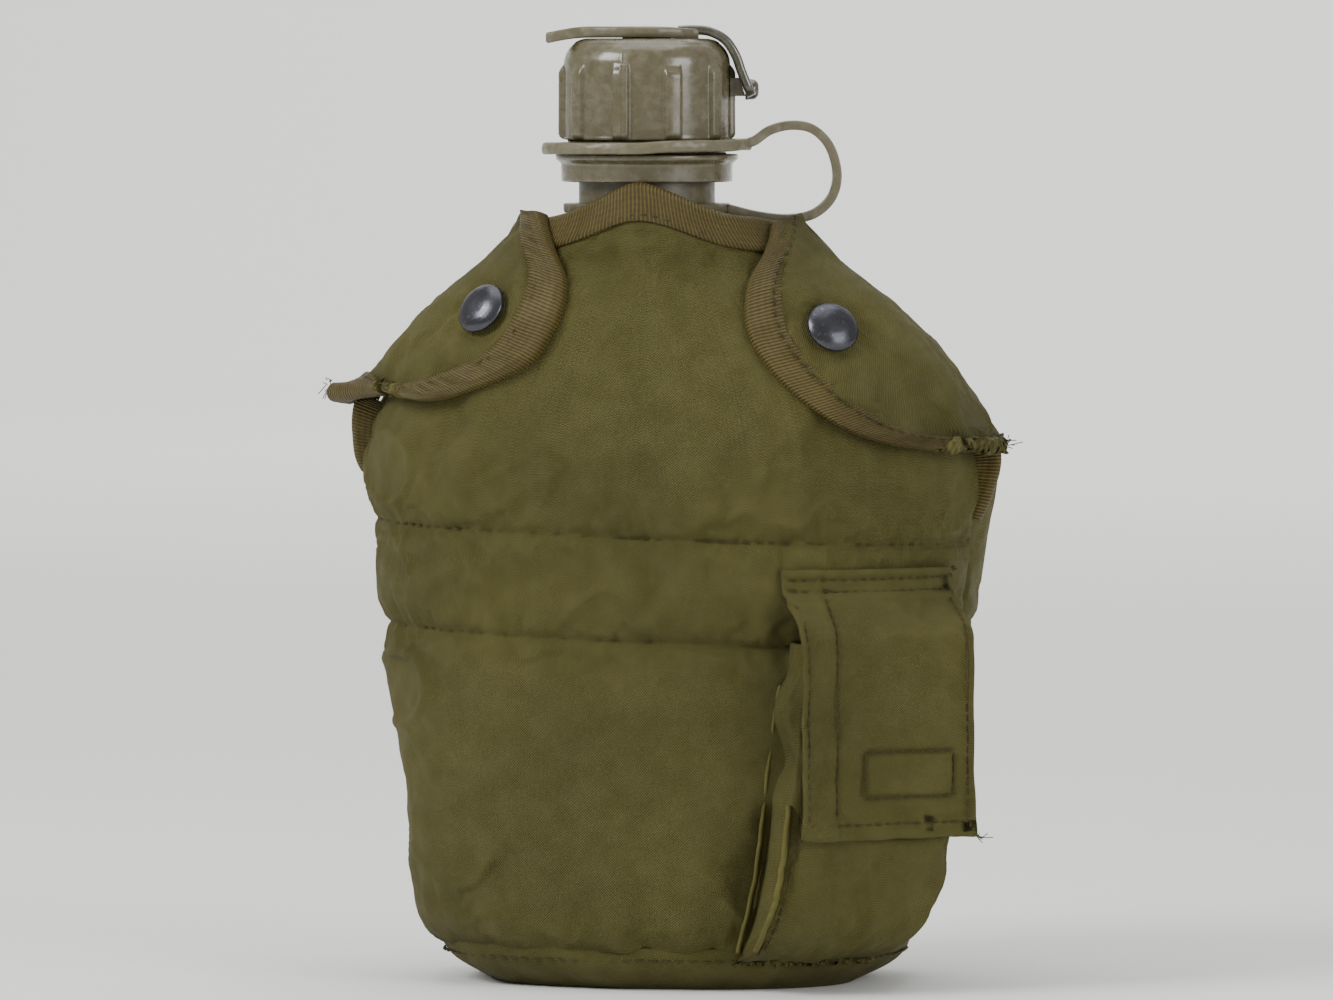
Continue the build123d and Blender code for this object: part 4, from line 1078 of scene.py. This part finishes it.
def base_panel():
    centre = np.array([5.0, 8.0])

    def place(a, b):
        w = b - 0.5
        t = np.clip(a / 0.30, 0, 1)
        z = 10.2 * (1 - t) ** 1.25
        rim = on_surface(w, z, 0.9 * np.sin(pi * np.clip(t, 0, 1) ** 0.8) - 1.0 + 0.9 * t)
        wave = 0.7 * noise(w * 26, 0.5, 2) + 0.35 * noise(w * 60, 0.5, 5)
        rim = rim + surface_normal(w, z) * (wave * np.sin(pi * t) ** 0.7)[..., None]
        rim[..., 2] = np.maximum(rim[..., 2], 0.0)
        edge = flat_point(w, np.zeros_like(w))
        share = np.clip((a - 0.30) / 0.70, 0, 1)
        angle = np.arctan2(edge[..., 1] - centre[1], edge[..., 0] - centre[0])
        hole = np.stack(
            [centre[0] + 3.0 * np.cos(angle), centre[1] + 3.0 * np.sin(angle), np.full(w.shape, 1.1)],
            axis=-1
        )
        flat = rim + (hole - rim) * share[..., None]
        lift = 0.5 * np.sin(pi * share) ** 2 * (1 + noise(w * 17, share * 5, 4)) + 1.1 * share
        flat[..., 2] = np.where(share > 0, lift * np.clip(share / 0.15, 0, 1), rim[..., 2])
        return np.where((a > 0.30)[..., None], flat, rim)

    panel = soft_grid("base_panel_cloth", place, 60, 180, cap=0)
    thicken(panel, 1.1, offset=1.0)
    place_piece(panel, NYLON, "canteen", ["base_panel"])
    w = np.linspace(-0.5, 0.5, 700)
    z = np.full(700, 7.4)
    out = surface_normal(w, z)
    seam = stitches(
        "base_stitches", [on_surface(w, z, np.full(700, 0.05))], [out], pitch=3.2, length=2.2
    )
    place_piece(seam, THREAD, "canteen")


def lining():
    def place(a, b):
        w = b - 0.5
        z = 6.0 + (171.0 - 6.0) * a + 1.0 * noise(w * 12, 0.5, 3) * (a > 0.98)
        height = -1.9 + 0.35 * noise(w * 60, z / 4, 2) - 0.5
        return on_surface(w, z, height)

    made = soft_grid("lining", place, 70, 160, times=1, cap=0)
    thicken(made, 1.5)
    place_piece(made, PILE, "canteen", ["lining_front", "lining_back"])


def collar_tapes():
    """Tape over the neck opening's edge, on the front hump and round the back."""
    s = np.linspace(-1, 1, 150)
    reach = float(seam_share(COLLAR_LEVEL)[0])
    w = s * reach
    x = flat_point(w, COLLAR_LEVEL)[..., 0]
    top = smooth_rows(COLLAR_EDGE, x)[..., 0] + 0.6

    def spine(q):
        return on_surface(w, top - q, np.full(len(w), -0.6))

    front, line, normal = edge_tape(
        "collar_tape_front", spine, 8.2, 1.4, 1.4, sides_of(spine(0.0)), 2, sag=0.35
    )
    place_piece(front, TAPE, "canteen", ["collar_binding_front"])
    w_back = np.linspace(reach, 1 - reach, 150)

    def rear_spine(q):
        return on_surface(w_back, np.full(150, REAR_EDGE_Z + 0.6 - q), np.full(150, -0.6))

    rear, rear_line, rear_normal = edge_tape(
        "collar_tape_back", rear_spine, 8.2, 1.4, 1.4, sides_of(rear_spine(0.0)), 7
    )
    place_piece(rear, TAPE, "canteen", ["collar_binding_back"])
    sewn = stitches("collar_stitches", [line, rear_line], [normal, rear_normal], pitch=2.9, length=2.0)
    place_piece(sewn, THREAD, "canteen")


# ---------------------------------------------------------------- flaps
FLAP_HEIGHT = 4.3  # outer face of a flap above the bare surface
FAR_LEVELS = (183.0, 176.0, 168.0, 160.0, 151.0, 145.5, 139.0)  # where each flap is sewn to the back
SNAPS = {"left": (-33.9, 160.0), "right": (46.0, 156.0)}


def flap_lines(side):
    """Free edge and sewn edge of a flap as curves of (share of the way round, height)."""
    sign = 1.0 if side == "right" else -1.0
    edge = FLAP_EDGES[side].astype(float)
    w = np.abs(share_at(edge[:, 0], edge[:, 1]))
    shift = -9.0 if side == "right" else 0.0
    far_z = np.array(FAR_LEVELS) + np.linspace(0, shift, len(FAR_LEVELS))
    far_w = seam_share(far_z) + 0.006
    w[-1] = far_w[-1] - 0.006
    w[-2] = min(w[-2], w[-1] - 0.03)
    keys = np.linspace(0, 1, len(edge))
    return sign, keys, np.stack([w, edge[:, 1]], axis=-1), np.stack([far_w, far_z], axis=-1)


def flap_place(side):
    sign, keys, free, far = flap_lines(side)
    free_table = np.concatenate([keys[:, None], free], axis=1)
    far_table = np.concatenate([keys[:, None], far], axis=1)
    flare = 9.0 if side == "left" else 2.5

    def place_at(s, t):
        """Point of the flap's outer face: s runs along its free edge, t from there to its seam."""
        s, t = np.broadcast_arrays(np.asarray(s, float), np.asarray(t, float))
        start = smooth_rows(free_table, s.reshape(-1)).reshape(*s.shape, 2)
        end = smooth_rows(far_table, s.reshape(-1)).reshape(*s.shape, 2)
        at = start + (end - start) * t[..., None]
        near_tip = np.clip((s - 0.78) / 0.22, 0, 1) ** 2
        seam_drop = np.clip((t - 0.75) / 0.25, 0, 1) ** 2
        height = FLAP_HEIGHT + 0.5 * np.sin(pi * np.clip(t, 0, 1)) - 3.6 * seam_drop
        height = height + flare * near_tip * (1 - t) ** 1.5
        height = height + 0.4 * noise(s * 5, t * 4, 4) * np.sin(pi * np.clip(t, 0, 1))
        crease = ridges(s * 6 + t * 2, t * 3, 6)
        height = height + 0.35 * crease * np.sin(pi * np.clip(t, 0, 1))
        return on_surface(sign * at[..., 0], at[..., 1], height)

    return place_at


def snap_share(side):
    x, z = SNAPS[side]
    return float(share_at(x, z)[0]), z


def snap_axis(side):
    w, z = snap_share(side)
    return surface_normal(np.array([w]), np.array([z]))[0]


def snap_spot(side):
    w, z = snap_share(side)
    return flat_point(np.array([w]), np.array([z]))[0]


def blend_flap(obj):
    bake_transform(obj)


def make_flap(side):
    face = flap_place(side)
    spot = snap_spot(side)

    def along(b):
        """Runs so that the cloth's mesh always looks outwards."""
        return b if side == "right" else 1 - b

    def place_cloth(a, b):
        return face(along(b), a)

    def detail(a, b):
        points = face(along(b), a)
        near_snap = np.linalg.norm(points - (spot + snap_axis(side) * FLAP_HEIGHT), axis=-1)
        height = -0.9 * bump(np.maximum(near_snap - 6.0, 0), 3.0)
        height = height + 0.09 * noise(points[..., 0] / 3, points[..., 2] / 3, 4)
        return height - 0.9 * np.clip(1 - a / 0.12, 0, 1)

    def seams(a, b):
        points = face(along(b), a)
        near_snap = np.linalg.norm(points - (spot + snap_axis(side) * FLAP_HEIGHT), axis=-1)
        return ((near_snap < 7) | (a < 0.1)).astype(float)

    cloth = soft_grid(f"{side}_flap_cloth", place_cloth, 46, 90, cap=0.9, seams=seams, detail=detail)
    thicken(cloth, 2.1, offset=-1.0)
    name_piece(cloth, NYLON, [f"{side}_flap"])
    blend_flap(cloth)
    s = np.linspace(0, 1, 190)
    reach = np.linalg.norm(face(s, np.ones(190)) - face(s, np.zeros(190)), axis=-1)

    def spine(q):
        return face(s, q / np.maximum(reach, 9.0)) - sides_of(face(s, np.zeros(190))) * 0.6

    tape, line, normal = edge_tape(
        f"{side}_flap_tape", spine, 7.4, 1.0, 2.7, sides_of(spine(0.0)), 3 + len(side), sag=0.4
    )
    name_piece(tape, TAPE, [f"{side}_flap_binding"])
    blend_flap(tape)
    sewn = stitches(f"{side}_flap_stitches", [line], [normal], pitch=2.9, length=2.0, lift=0.1)
    name_piece(sewn, THREAD)
    blend_flap(sewn)
    tip = spine(0.0)[-1]
    out = sides_of(tip[None, :])[0]
    frayed = threads(
        f"{side}_flap_threads", [tip, tip + np.array([0, 0, 1.5])], [out, out], length=2.6, count=5,
        seed=len(side)
    )
    name_piece(frayed, THREAD)
    blend_flap(frayed)


def side_tape(side):
    """Short bound edge of the side seam just under a flap's tip."""
    sign = 1.0 if side == "right" else -1.0
    top, low = (139.0, 122.0) if side == "left" else (130.0, 112.0)
    z = np.linspace(top, low, 40)
    share = np.linspace(0, 1, 40)
    w = sign * (np.interp(z, LEVELS, seam_share(LEVELS)) - 0.004)
    reach = (5.0 if side == "left" else 3.6) * (1 - share) ** 0.7 * np.clip(share * 6 + 0.35, 0, 1) + 1.0
    reach = reach + 0.7 * noise(share * 4, 0.5, 5)

    def spine(q):
        return on_surface(w, z, reach - q)

    forward = np.tile(np.array([0.0, -1.0, 0.0]), (40, 1))
    tape, line, normal = edge_tape(
        f"{side}_side_tape", spine, 10.5, 1.2, 1.2, forward, 5, inner_width=10.5, sag=0.3
    )
    place_piece(tape, TAPE, "canteen")
    sewn = stitches(f"{side}_side_stitches", [line], [normal], pitch=2.9, length=2.0)
    place_piece(sewn, THREAD, "canteen")


# ---------------------------------------------------------------- pocket
POCKET_TURN = radians(31)
POCKET_LEAN = radians(0.5)
ACROSS = np.array([cos(POCKET_TURN), sin(POCKET_TURN), 0.0])
LOOK = np.array([sin(POCKET_TURN) * cos(POCKET_LEAN), -cos(POCKET_TURN) * cos(POCKET_LEAN), sin(POCKET_LEAN)])
RISE = np.cross(LOOK, ACROSS)
POCKET_FOOT = np.array([63.2, -33.2, 37.7]) - RISE * 37.7
PATCH_DEPTH = 3.9  # the pocket's front lies this deep behind its flap's face
FLAP_TOP_LEVEL = 101.2
FLAP_FOOT_LEVEL = 37.9
FLAP_FACE_DEPTH = 0.2


def pocket_point(x, y, depth):
    """Point given across the pocket, up it and behind its flap's outer face."""
    x, y, depth = np.broadcast_arrays(*(np.asarray(v, float) for v in (x, y, depth)))
    return POCKET_FOOT + ACROSS * x[..., None] + RISE * y[..., None] - LOOK * depth[..., None]


def outside(points, grow=0.0):
    """Above 0 outside the cover's bare surface, below 0 inside."""
    a, b, cx, cy, power = np.moveaxis(smooth_rows(STATIONS, points[..., 2]), -1, 0)
    x = points[..., 0] - cx
    y = points[..., 1] - cy - BEND * x * x
    return (np.abs(x) / (a + grow)) ** power + (np.abs(y) / (b + grow)) ** power - 1


def cover_depth(x, y, grow=0.0):
    """Depth at which a line into the pocket meets the cover."""
    x, y = np.broadcast_arrays(np.asarray(x, float), np.asarray(y, float))
    low, high = np.full(x.shape, -5.0), np.full(x.shape, 45.0)
    for _ in range(22):
        middle = (low + high) / 2
        free = outside(pocket_point(x, y, middle), grow) > 0
        low, high = np.where(free, middle, low), np.where(free, high, middle)
    return (low + high) / 2


def make_pocket():
    outline = np.array([
        (8, -27.5, 5.0), (12, -27.4, 10.0), (22, -26.0, 15.0), (50, -23.0, 17.0), (84, -19.0, 19.0),
    ])
    profile = curve_through(
        [(0.4, 84), (0.0, 60), (0.0, 36), (1.8, 27), (6, 16.5), (13, 10), (22, 7.6), (34, 7.2)], 90
    )[::-1]

    def place_at(a, b):
        row = np.interp(a, np.linspace(0, 1, len(profile)), profile[:, 0])
        level = np.interp(a, np.linspace(0, 1, len(profile)), profile[:, 1])
        edges = smooth_rows(outline, level)
        left, right = edges[..., 0], edges[..., 1]
        front = row + PATCH_DEPTH
        wall = 0.24
        t_left = np.clip(b / wall, 0, 1)
        t_right = np.clip((1 - b) / wall, 0, 1)
        t = np.clip((b - wall) / (1 - 2 * wall), 0, 1)
        x = left + (right - left) * t
        deep = cover_depth(x, level, 0.2) + 1.2
        side = np.minimum(t_left, t_right)
        depth = deep + (np.minimum(front, deep) - deep) * side ** 0.9
        bulge = 1.1 * np.sin(pi * side) * np.where(b < 0.5, -1.0, 1.0)
        gusset = 3.4 * bump(
            level - 68, 7
        ) * np.sin(pi * side) - 2.6 * bump(level - 56, 6) * np.sin(pi * side)
        x = x + bulge - np.where(b < 0.5, gusset, 0)
        middle = np.sin(pi * t)
        hidden = np.clip((44 - level) / 8, 0, 1)
        swell_out = 1.4 * middle * hidden + 0.7 * hidden * middle * noise(x / 11, level / 9, 3)
        swell_out = swell_out + 0.6 * hidden * middle * ridges(x / 9 + level / 30, level / 22, 8)
        return pocket_point(x, level, depth - swell_out)

    def detail(a, b):
        points = place_at(a, b)
        return 0.10 * noise(
            points[..., 0] / 2.6, points[..., 2] / 2.6, 4
        ) + 0.15 * noise(b * 40, a * 12, 5)

    body = soft_grid("pocket_cloth", place_at, 52, 70, cap=0.8, detail=detail, slack=-0.02)
    thicken(body, 1.0)
    place_piece(body, NYLON, "canteen", ["pocket_body"])
    seams, normals, fins = [], [], []
    for shift, grow, low, high in ((0.0, 0.0, 11, 46), (-1.0, None, 10, 74)):
        level = np.linspace(low, high, 90)
        left = smooth_rows(outline, level)[..., 0]
        front = np.interp(level, profile[:, 1], profile[:, 0]) + PATCH_DEPTH
        deep = cover_depth(left + shift, level)
        depth = np.minimum(front, deep) if grow is not None else deep - 0.8
        points = pocket_point(left + shift, level, depth)
        fins.append(points)
        seams.append(points + LOOK * 0.9 + ACROSS * 1.6)
        normals.append(np.tile(LOOK, (90, 1)))
    for i, points in enumerate(fins):
        level = np.linspace(0, 1, 90)
        wave = ACROSS * (0.35 * noise(level * 14, 0.5, 6 + i))[:, None]
        fin = ribbon(
            f"pocket_seam_{i + 1}", points - ACROSS * 0.6 + LOOK * 0.3 + wave, 2.6, 1.0,
            unit(LOOK - ACROSS * 0.8), edge=0.4, wander=0.3, seed=i
        )
        place_piece(fin, NYLON, "canteen")
    sewn = stitches("pocket_stitches", seams, normals, pitch=2.8, length=2.0)
    place_piece(sewn, THREAD, "canteen")


def flap_profile(x, run):
    """Depth and level of the pocket flap's outer face, a run in millimetres down from its top edge."""
    level = FLAP_TOP_LEVEL - run
    hugging = cover_depth(x, level, 2.2)
    ease = np.clip((99.0 - level) / 14.0, 0, 1)
    ease = ease * ease * (3 - 2 * ease)
    depth = hugging * (1 - ease) + FLAP_FACE_DEPTH * ease
    return depth, level


def make_pocket_flap():
    span = 22.6
    height = FLAP_TOP_LEVEL - FLAP_FOOT_LEVEL

    def place_at(a, b):
        run = a * height
        x = (1 - 2 * b) * span * (1 - 0.018 * np.sin(pi * a))
        x = x + 0.35 * noise(a * 8, 0.5, 3) * np.abs(2 * b - 1) ** 3
        depth, level = flap_profile(x, run)
        level = level + 0.45 * noise(b * 7, 0.5, 2) * a ** 6
        inside = np.sin(pi * b) * np.sin(pi * a)
        lift = 0.5 * inside + 0.45 * noise(b * 4, a * 5, 6) * inside
        crease = 0.55 * ridges(b * 3 + a * 0.5, a * 2.2, 7) * bump(a - 0.25, 0.13)
        curl = 0.8 * bump(a - 1, 0.06) * noise(b * 6, 0.5, 8)
        lean = 1.1 * bump(1 - b, 0.08) * np.clip((a - 0.12) / 0.1, 0, 1)
        return pocket_point(x, level, depth - lift - crease - curl - lean)

    def detail(a, b):
        run = a * height
        x = (1 - 2 * b) * span
        level = FLAP_TOP_LEVEL - run
        made = 0.08 * noise(x / 2.2, level / 2.2, 4)
        hem = 0.35 * np.clip(1 - (height - run) / 4.2, 0, 1) ** 0.3 * (height - run < 4.2)
        left_hem = 0.3 * (x < -span + 9.3)
        strip = 0.4 * (run < 7.5)
        box = np.maximum(np.abs(x - 5.4) - 11.6, np.abs(level - 53.0) - 5.4)
        made = made - 0.35 * bump(box, 0.7) + 0.3 * (box < -0.5)
        made = made - 0.3 * bump(run - 2.2, 0.6) - 0.3 * bump(run - 5.0, 0.6) - 0.3 * bump(
            x + span - 9.3, 0.6
        )
        return made + hem + left_hem + strip

    cloth = soft_grid(
        "pocket_flap_cloth", place_at, 64, 50, cap=0.5, detail=detail, slack=-0.015, pressure=1.5
    )
    thicken(cloth, 1.0)
    name_piece(cloth, NYLON, ["pocket_flap", "pocket_flap_root"])

    def bend(obj):
        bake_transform(obj)

    bend(cloth)

    def on_flap(x, run, lift=0.55):
        a, b = run / height, (1 - np.asarray(x, float) / span) / 2
        a, b = np.broadcast_arrays(np.asarray(a, float), b)
        return place_at(a, b) + LOOK * lift

    lines = []
    for run, low, high in ((2.2, -21.5, 21.5), (5.0, -21.5, 21.5), (height - 3.6, -21.5, 21.5)):
        lines.append(on_flap(np.linspace(low, high, 60), run))
    for x, low, high in (
        (-span + 9.3, 6, height - 3.6), (span - 1.8, 7, height - 2), (-span + 1.6, 8, height - 2)
    ):
        lines.append(on_flap(x, np.linspace(low, high, 60)))
    box = [(-6.2, 47.6), (17.0, 47.6), (17.0, 58.4), (-6.2, 58.4), (-6.2, 47.6)]
    for (x0, z0), (x1, z1) in zip(box, box[1:]):
        lines.append(on_flap(np.linspace(x0, x1, 40), FLAP_TOP_LEVEL - np.linspace(z0, z1, 40)))
    normals = [np.tile(LOOK, (len(line), 1)) for line in lines]
    sewn = stitches("pocket_flap_stitches", lines, normals, pitch=2.5, length=1.8, radius=0.24)
    name_piece(sewn, THREAD)
    bend(sewn)
    tacks = []
    for x0, run0 in (
        (-20.5, 3.5), (-12.5, 3.2), (20.5, 3.5), (-21.0, height - 2.5), (20.8, height - 2.5),
        (10.5, height - 3.4)
    ):
        step = np.linspace(0, 1, 22)
        zig = np.where(np.arange(22) % 2 == 0, -1.0, 1.0)
        upright = run0 > 20 and abs(x0) > 15
        x = x0 + (zig * 1.1 if not upright else (step - 0.5) * 3.2)
        run = run0 + ((step - 0.5) * 3.6 if not upright else zig * 1.2)
        tacks.append(tube(on_flap(x, run, 0.35), 0.2, 5))
    bars = joined("pocket_flap_bartacks", tacks)
    name_piece(bars, THREAD)
    bend(bars)
    corners = [
        on_flap(x, run, 0.2) for x,
        run in ((-span, 0.8), (span, 0.5), (-span, height), (span, height), (-span, 7.0))
    ]
    ways = [
        -ACROSS + RISE * 0.4, ACROSS + RISE * 0.2, -ACROSS - RISE, ACROSS - RISE * 0.6,
        -ACROSS - RISE * 0.5
    ]
    frayed = threads("pocket_flap_threads", corners, ways, length=2.2, count=8, seed=4)
    name_piece(frayed, THREAD)
    bend(frayed)


# ---------------------------------------------------------------- belt webbing
def make_webbing():
    for side, x in (("left", -27.0), ("right", 37.0)):
        turn = np.linspace(0, pi / 2, 8)
        corner = 1.6
        half = 12.6
        far = 55.5
        bend = [(half - corner + corner * np.sin(t), far - corner + corner * np.cos(t)) for t in turn]
        right = [(x + across, y) for across, y in bend]
        left = [(x - across, y) for across, y in bend[::-1]]
        foot_left = flat_point(*where_back(x - half - 1.0, 100.0))
        foot_right = flat_point(*where_back(x + half + 1.0, 100.0))
        near, last = (x - half - 0.6, foot_left[1] - 0.5), (x + half + 0.6, foot_right[1] - 0.5)
        outline = [near] + left + right + [last]
        path = densify(np.array(outline), 1.2)
        band = ribbon(
            f"{side}_webbing", np.column_stack([path, np.full(len(path), 100.5)]), 24.5, 1.5, UP,
            wander=0.15, seed=3
        )
        band_uv(band)
        place_piece(band, WEBBING, "canteen", [f"{side}_belt_loop"])
        lines, normals = [], []
        for z0, z1, a, b in (
            (90, 111, -9.5, -9.5), (90, 111, 9.5, 9.5), (90, 111, -9.5, 9.5), (90, 111, 9.5, -9.5)
        ):
            z = np.linspace(z0, z1, 50)
            across = np.linspace(a, b, 50)
            lines.append(np.stack([x + across, np.full(50, far + 0.8), z], axis=-1))
            normals.append(np.tile(np.array([0.0, 1.0, 0.0]), (50, 1)))
        sewn = stitches(f"{side}_webbing_stitches", lines, normals, pitch=2.8, length=2.0)
        place_piece(sewn, THREAD, "canteen")


def where_back(x, z):
    """Share of the way round, on the back, of a point at x and z."""
    w = np.linspace(0.3, 0.7, 200)
    line = flat_point(w, np.full(200, z))[:, 0]
    order = np.argsort(line)
    return np.interp(x, line[order], w[order]), z


def band_uv(obj):
    """Plain box mapping in metres."""
    layer = obj.data.uv_layers.get("UVMap") or obj.data.uv_layers.new(name="UVMap")
    for loop in obj.data.loops:
        co = obj.data.vertices[loop.vertex_index].co
        layer.data[loop.index].uv = (co.x + co.y, co.z)


# ---------------------------------------------------------------- assemble
make_cap()
make_leash()
make_dust_cover()
front_panel()
back_panel()
base_panel()
lining()
collar_tapes()
for flap_side in ("left", "right"):
    make_flap(flap_side)
    side_tape(flap_side)
make_snaps()
make_pocket()
make_pocket_flap()
make_webbing()

CAD_MATERIALS = {
    "bottle": BOTTLE_PLASTIC,
    "port_cup": CAP_PLASTIC,
    "cap_gasket": RUBBER,
    "port_seal": RUBBER,
    "probe_pin": SHADED_STRAP_PLASTIC,
    "cover_lug": CAP_PLASTIC,
    "drain_eyelet": BRASS,
    "pocket_hook_patch": HOOKS,
    "pocket_loop_patch": PILE,
}
for flap_side in ("left", "right"):
    CAD_MATERIALS[f"{flap_side}_snap_socket"] = GUNMETAL
    CAD_MATERIALS[f"{flap_side}_snap_stud"] = GUNMETAL
    CAD_MATERIALS[f"{flap_side}_snap_post"] = GUNMETAL
    CAD_MATERIALS[f"{flap_side}_clip_frame"] = STEEL
    CAD_MATERIALS[f"{flap_side}_clip_slide"] = STEEL
for node_name, node_material in CAD_MATERIALS.items():
    dress(bpy.data.objects[node_name], node_material)


# ---------------------------------------------------------------- floor, light and camera
def soft_lamp(name, place_at, size, power, aim=(0.0, 0.0, 0.11)):
    lamp = bpy.data.lights.new(name, "AREA")
    lamp.shape = "RECTANGLE"
    lamp.size = size[0]
    lamp.size_y = size[1]
    lamp.energy = power
    obj = bpy.data.objects.new(name, lamp)
    obj.location = place_at
    obj.rotation_euler = (Vector(aim) - Vector(place_at)).to_track_quat("-Z", "Y").to_euler()
    bpy.context.scene.collection.objects.link(obj)


def make_floor():
    """Pale floor that curves up into a backdrop."""
    turn = np.linspace(0, pi / 2, 16)
    bend = [(3.6 + 0.8 * np.sin(t), 0.8 - 0.8 * np.cos(t)) for t in turn]
    profile = [(-6.0, 0.0), (0.0, 0.0), (3.6, 0.0)] + bend + [(4.4, 4.5)]
    vertices, faces = [], []
    for y, z in profile:
        vertices.extend([(-7.0, y, z), (7.0, y, z)])
    for i in range(len(profile) - 1):
        faces.append((2 * i, 2 * i + 1, 2 * i + 3, 2 * i + 2))
    floor = new_object("floor", vertices, faces)
    made, tree, shader = start_material("pale_floor", (0.80, 0.80, 0.785), 0.9, specular=0.1)
    tone = mixed(tree, blur_noise(tree, 3.0), (0.79, 0.79, 0.775), (0.81, 0.81, 0.795))
    tree.links.new(tone, shader.inputs["Base Color"])
    dress(floor, made)


make_floor()
soft_lamp("key_light", (-1.1, -0.9, 1.1), (0.8, 0.8), 27)
soft_lamp("fill_light", (1.4, -0.9, 0.6), (0.8, 0.8), 15)
soft_lamp("top_light", (0.0, 0.2, 1.7), (1.4, 1.4), 16)
soft_lamp("backdrop_light", (0.0, 2.4, 2.6), (4.0, 0.8), 110, aim=(0.0, 4.4, 0.4))
world = bpy.data.worlds.new("studio")
world.use_nodes = True
world.node_tree.nodes["Background"].inputs["Color"].default_value = (1.0, 1.0, 0.99, 1)
world.node_tree.nodes["Background"].inputs["Strength"].default_value = 0.5
bpy.context.scene.world = world

VIEW_AZIMUTH = radians(9)
VIEW_RISE = radians(2.7)
VIEW_DISTANCE = 2.5
aim_point = Vector((4.7 * cos(VIEW_AZIMUTH), 4.7 * sin(VIEW_AZIMUTH), 116.0)) * MM
camera_data = bpy.data.cameras.new("camera")
camera_data.lens = 281.0
camera_data.sensor_width = 36.0
camera = bpy.data.objects.new("camera", camera_data)
away = Vector((sin(VIEW_AZIMUTH) * cos(VIEW_RISE), -cos(VIEW_AZIMUTH) * cos(VIEW_RISE), sin(VIEW_RISE)))
camera.location = aim_point + away * VIEW_DISTANCE
camera.rotation_euler = (-away).to_track_quat("-Z", "Y").to_euler()
bpy.context.scene.collection.objects.link(camera)
bpy.context.scene.camera = camera
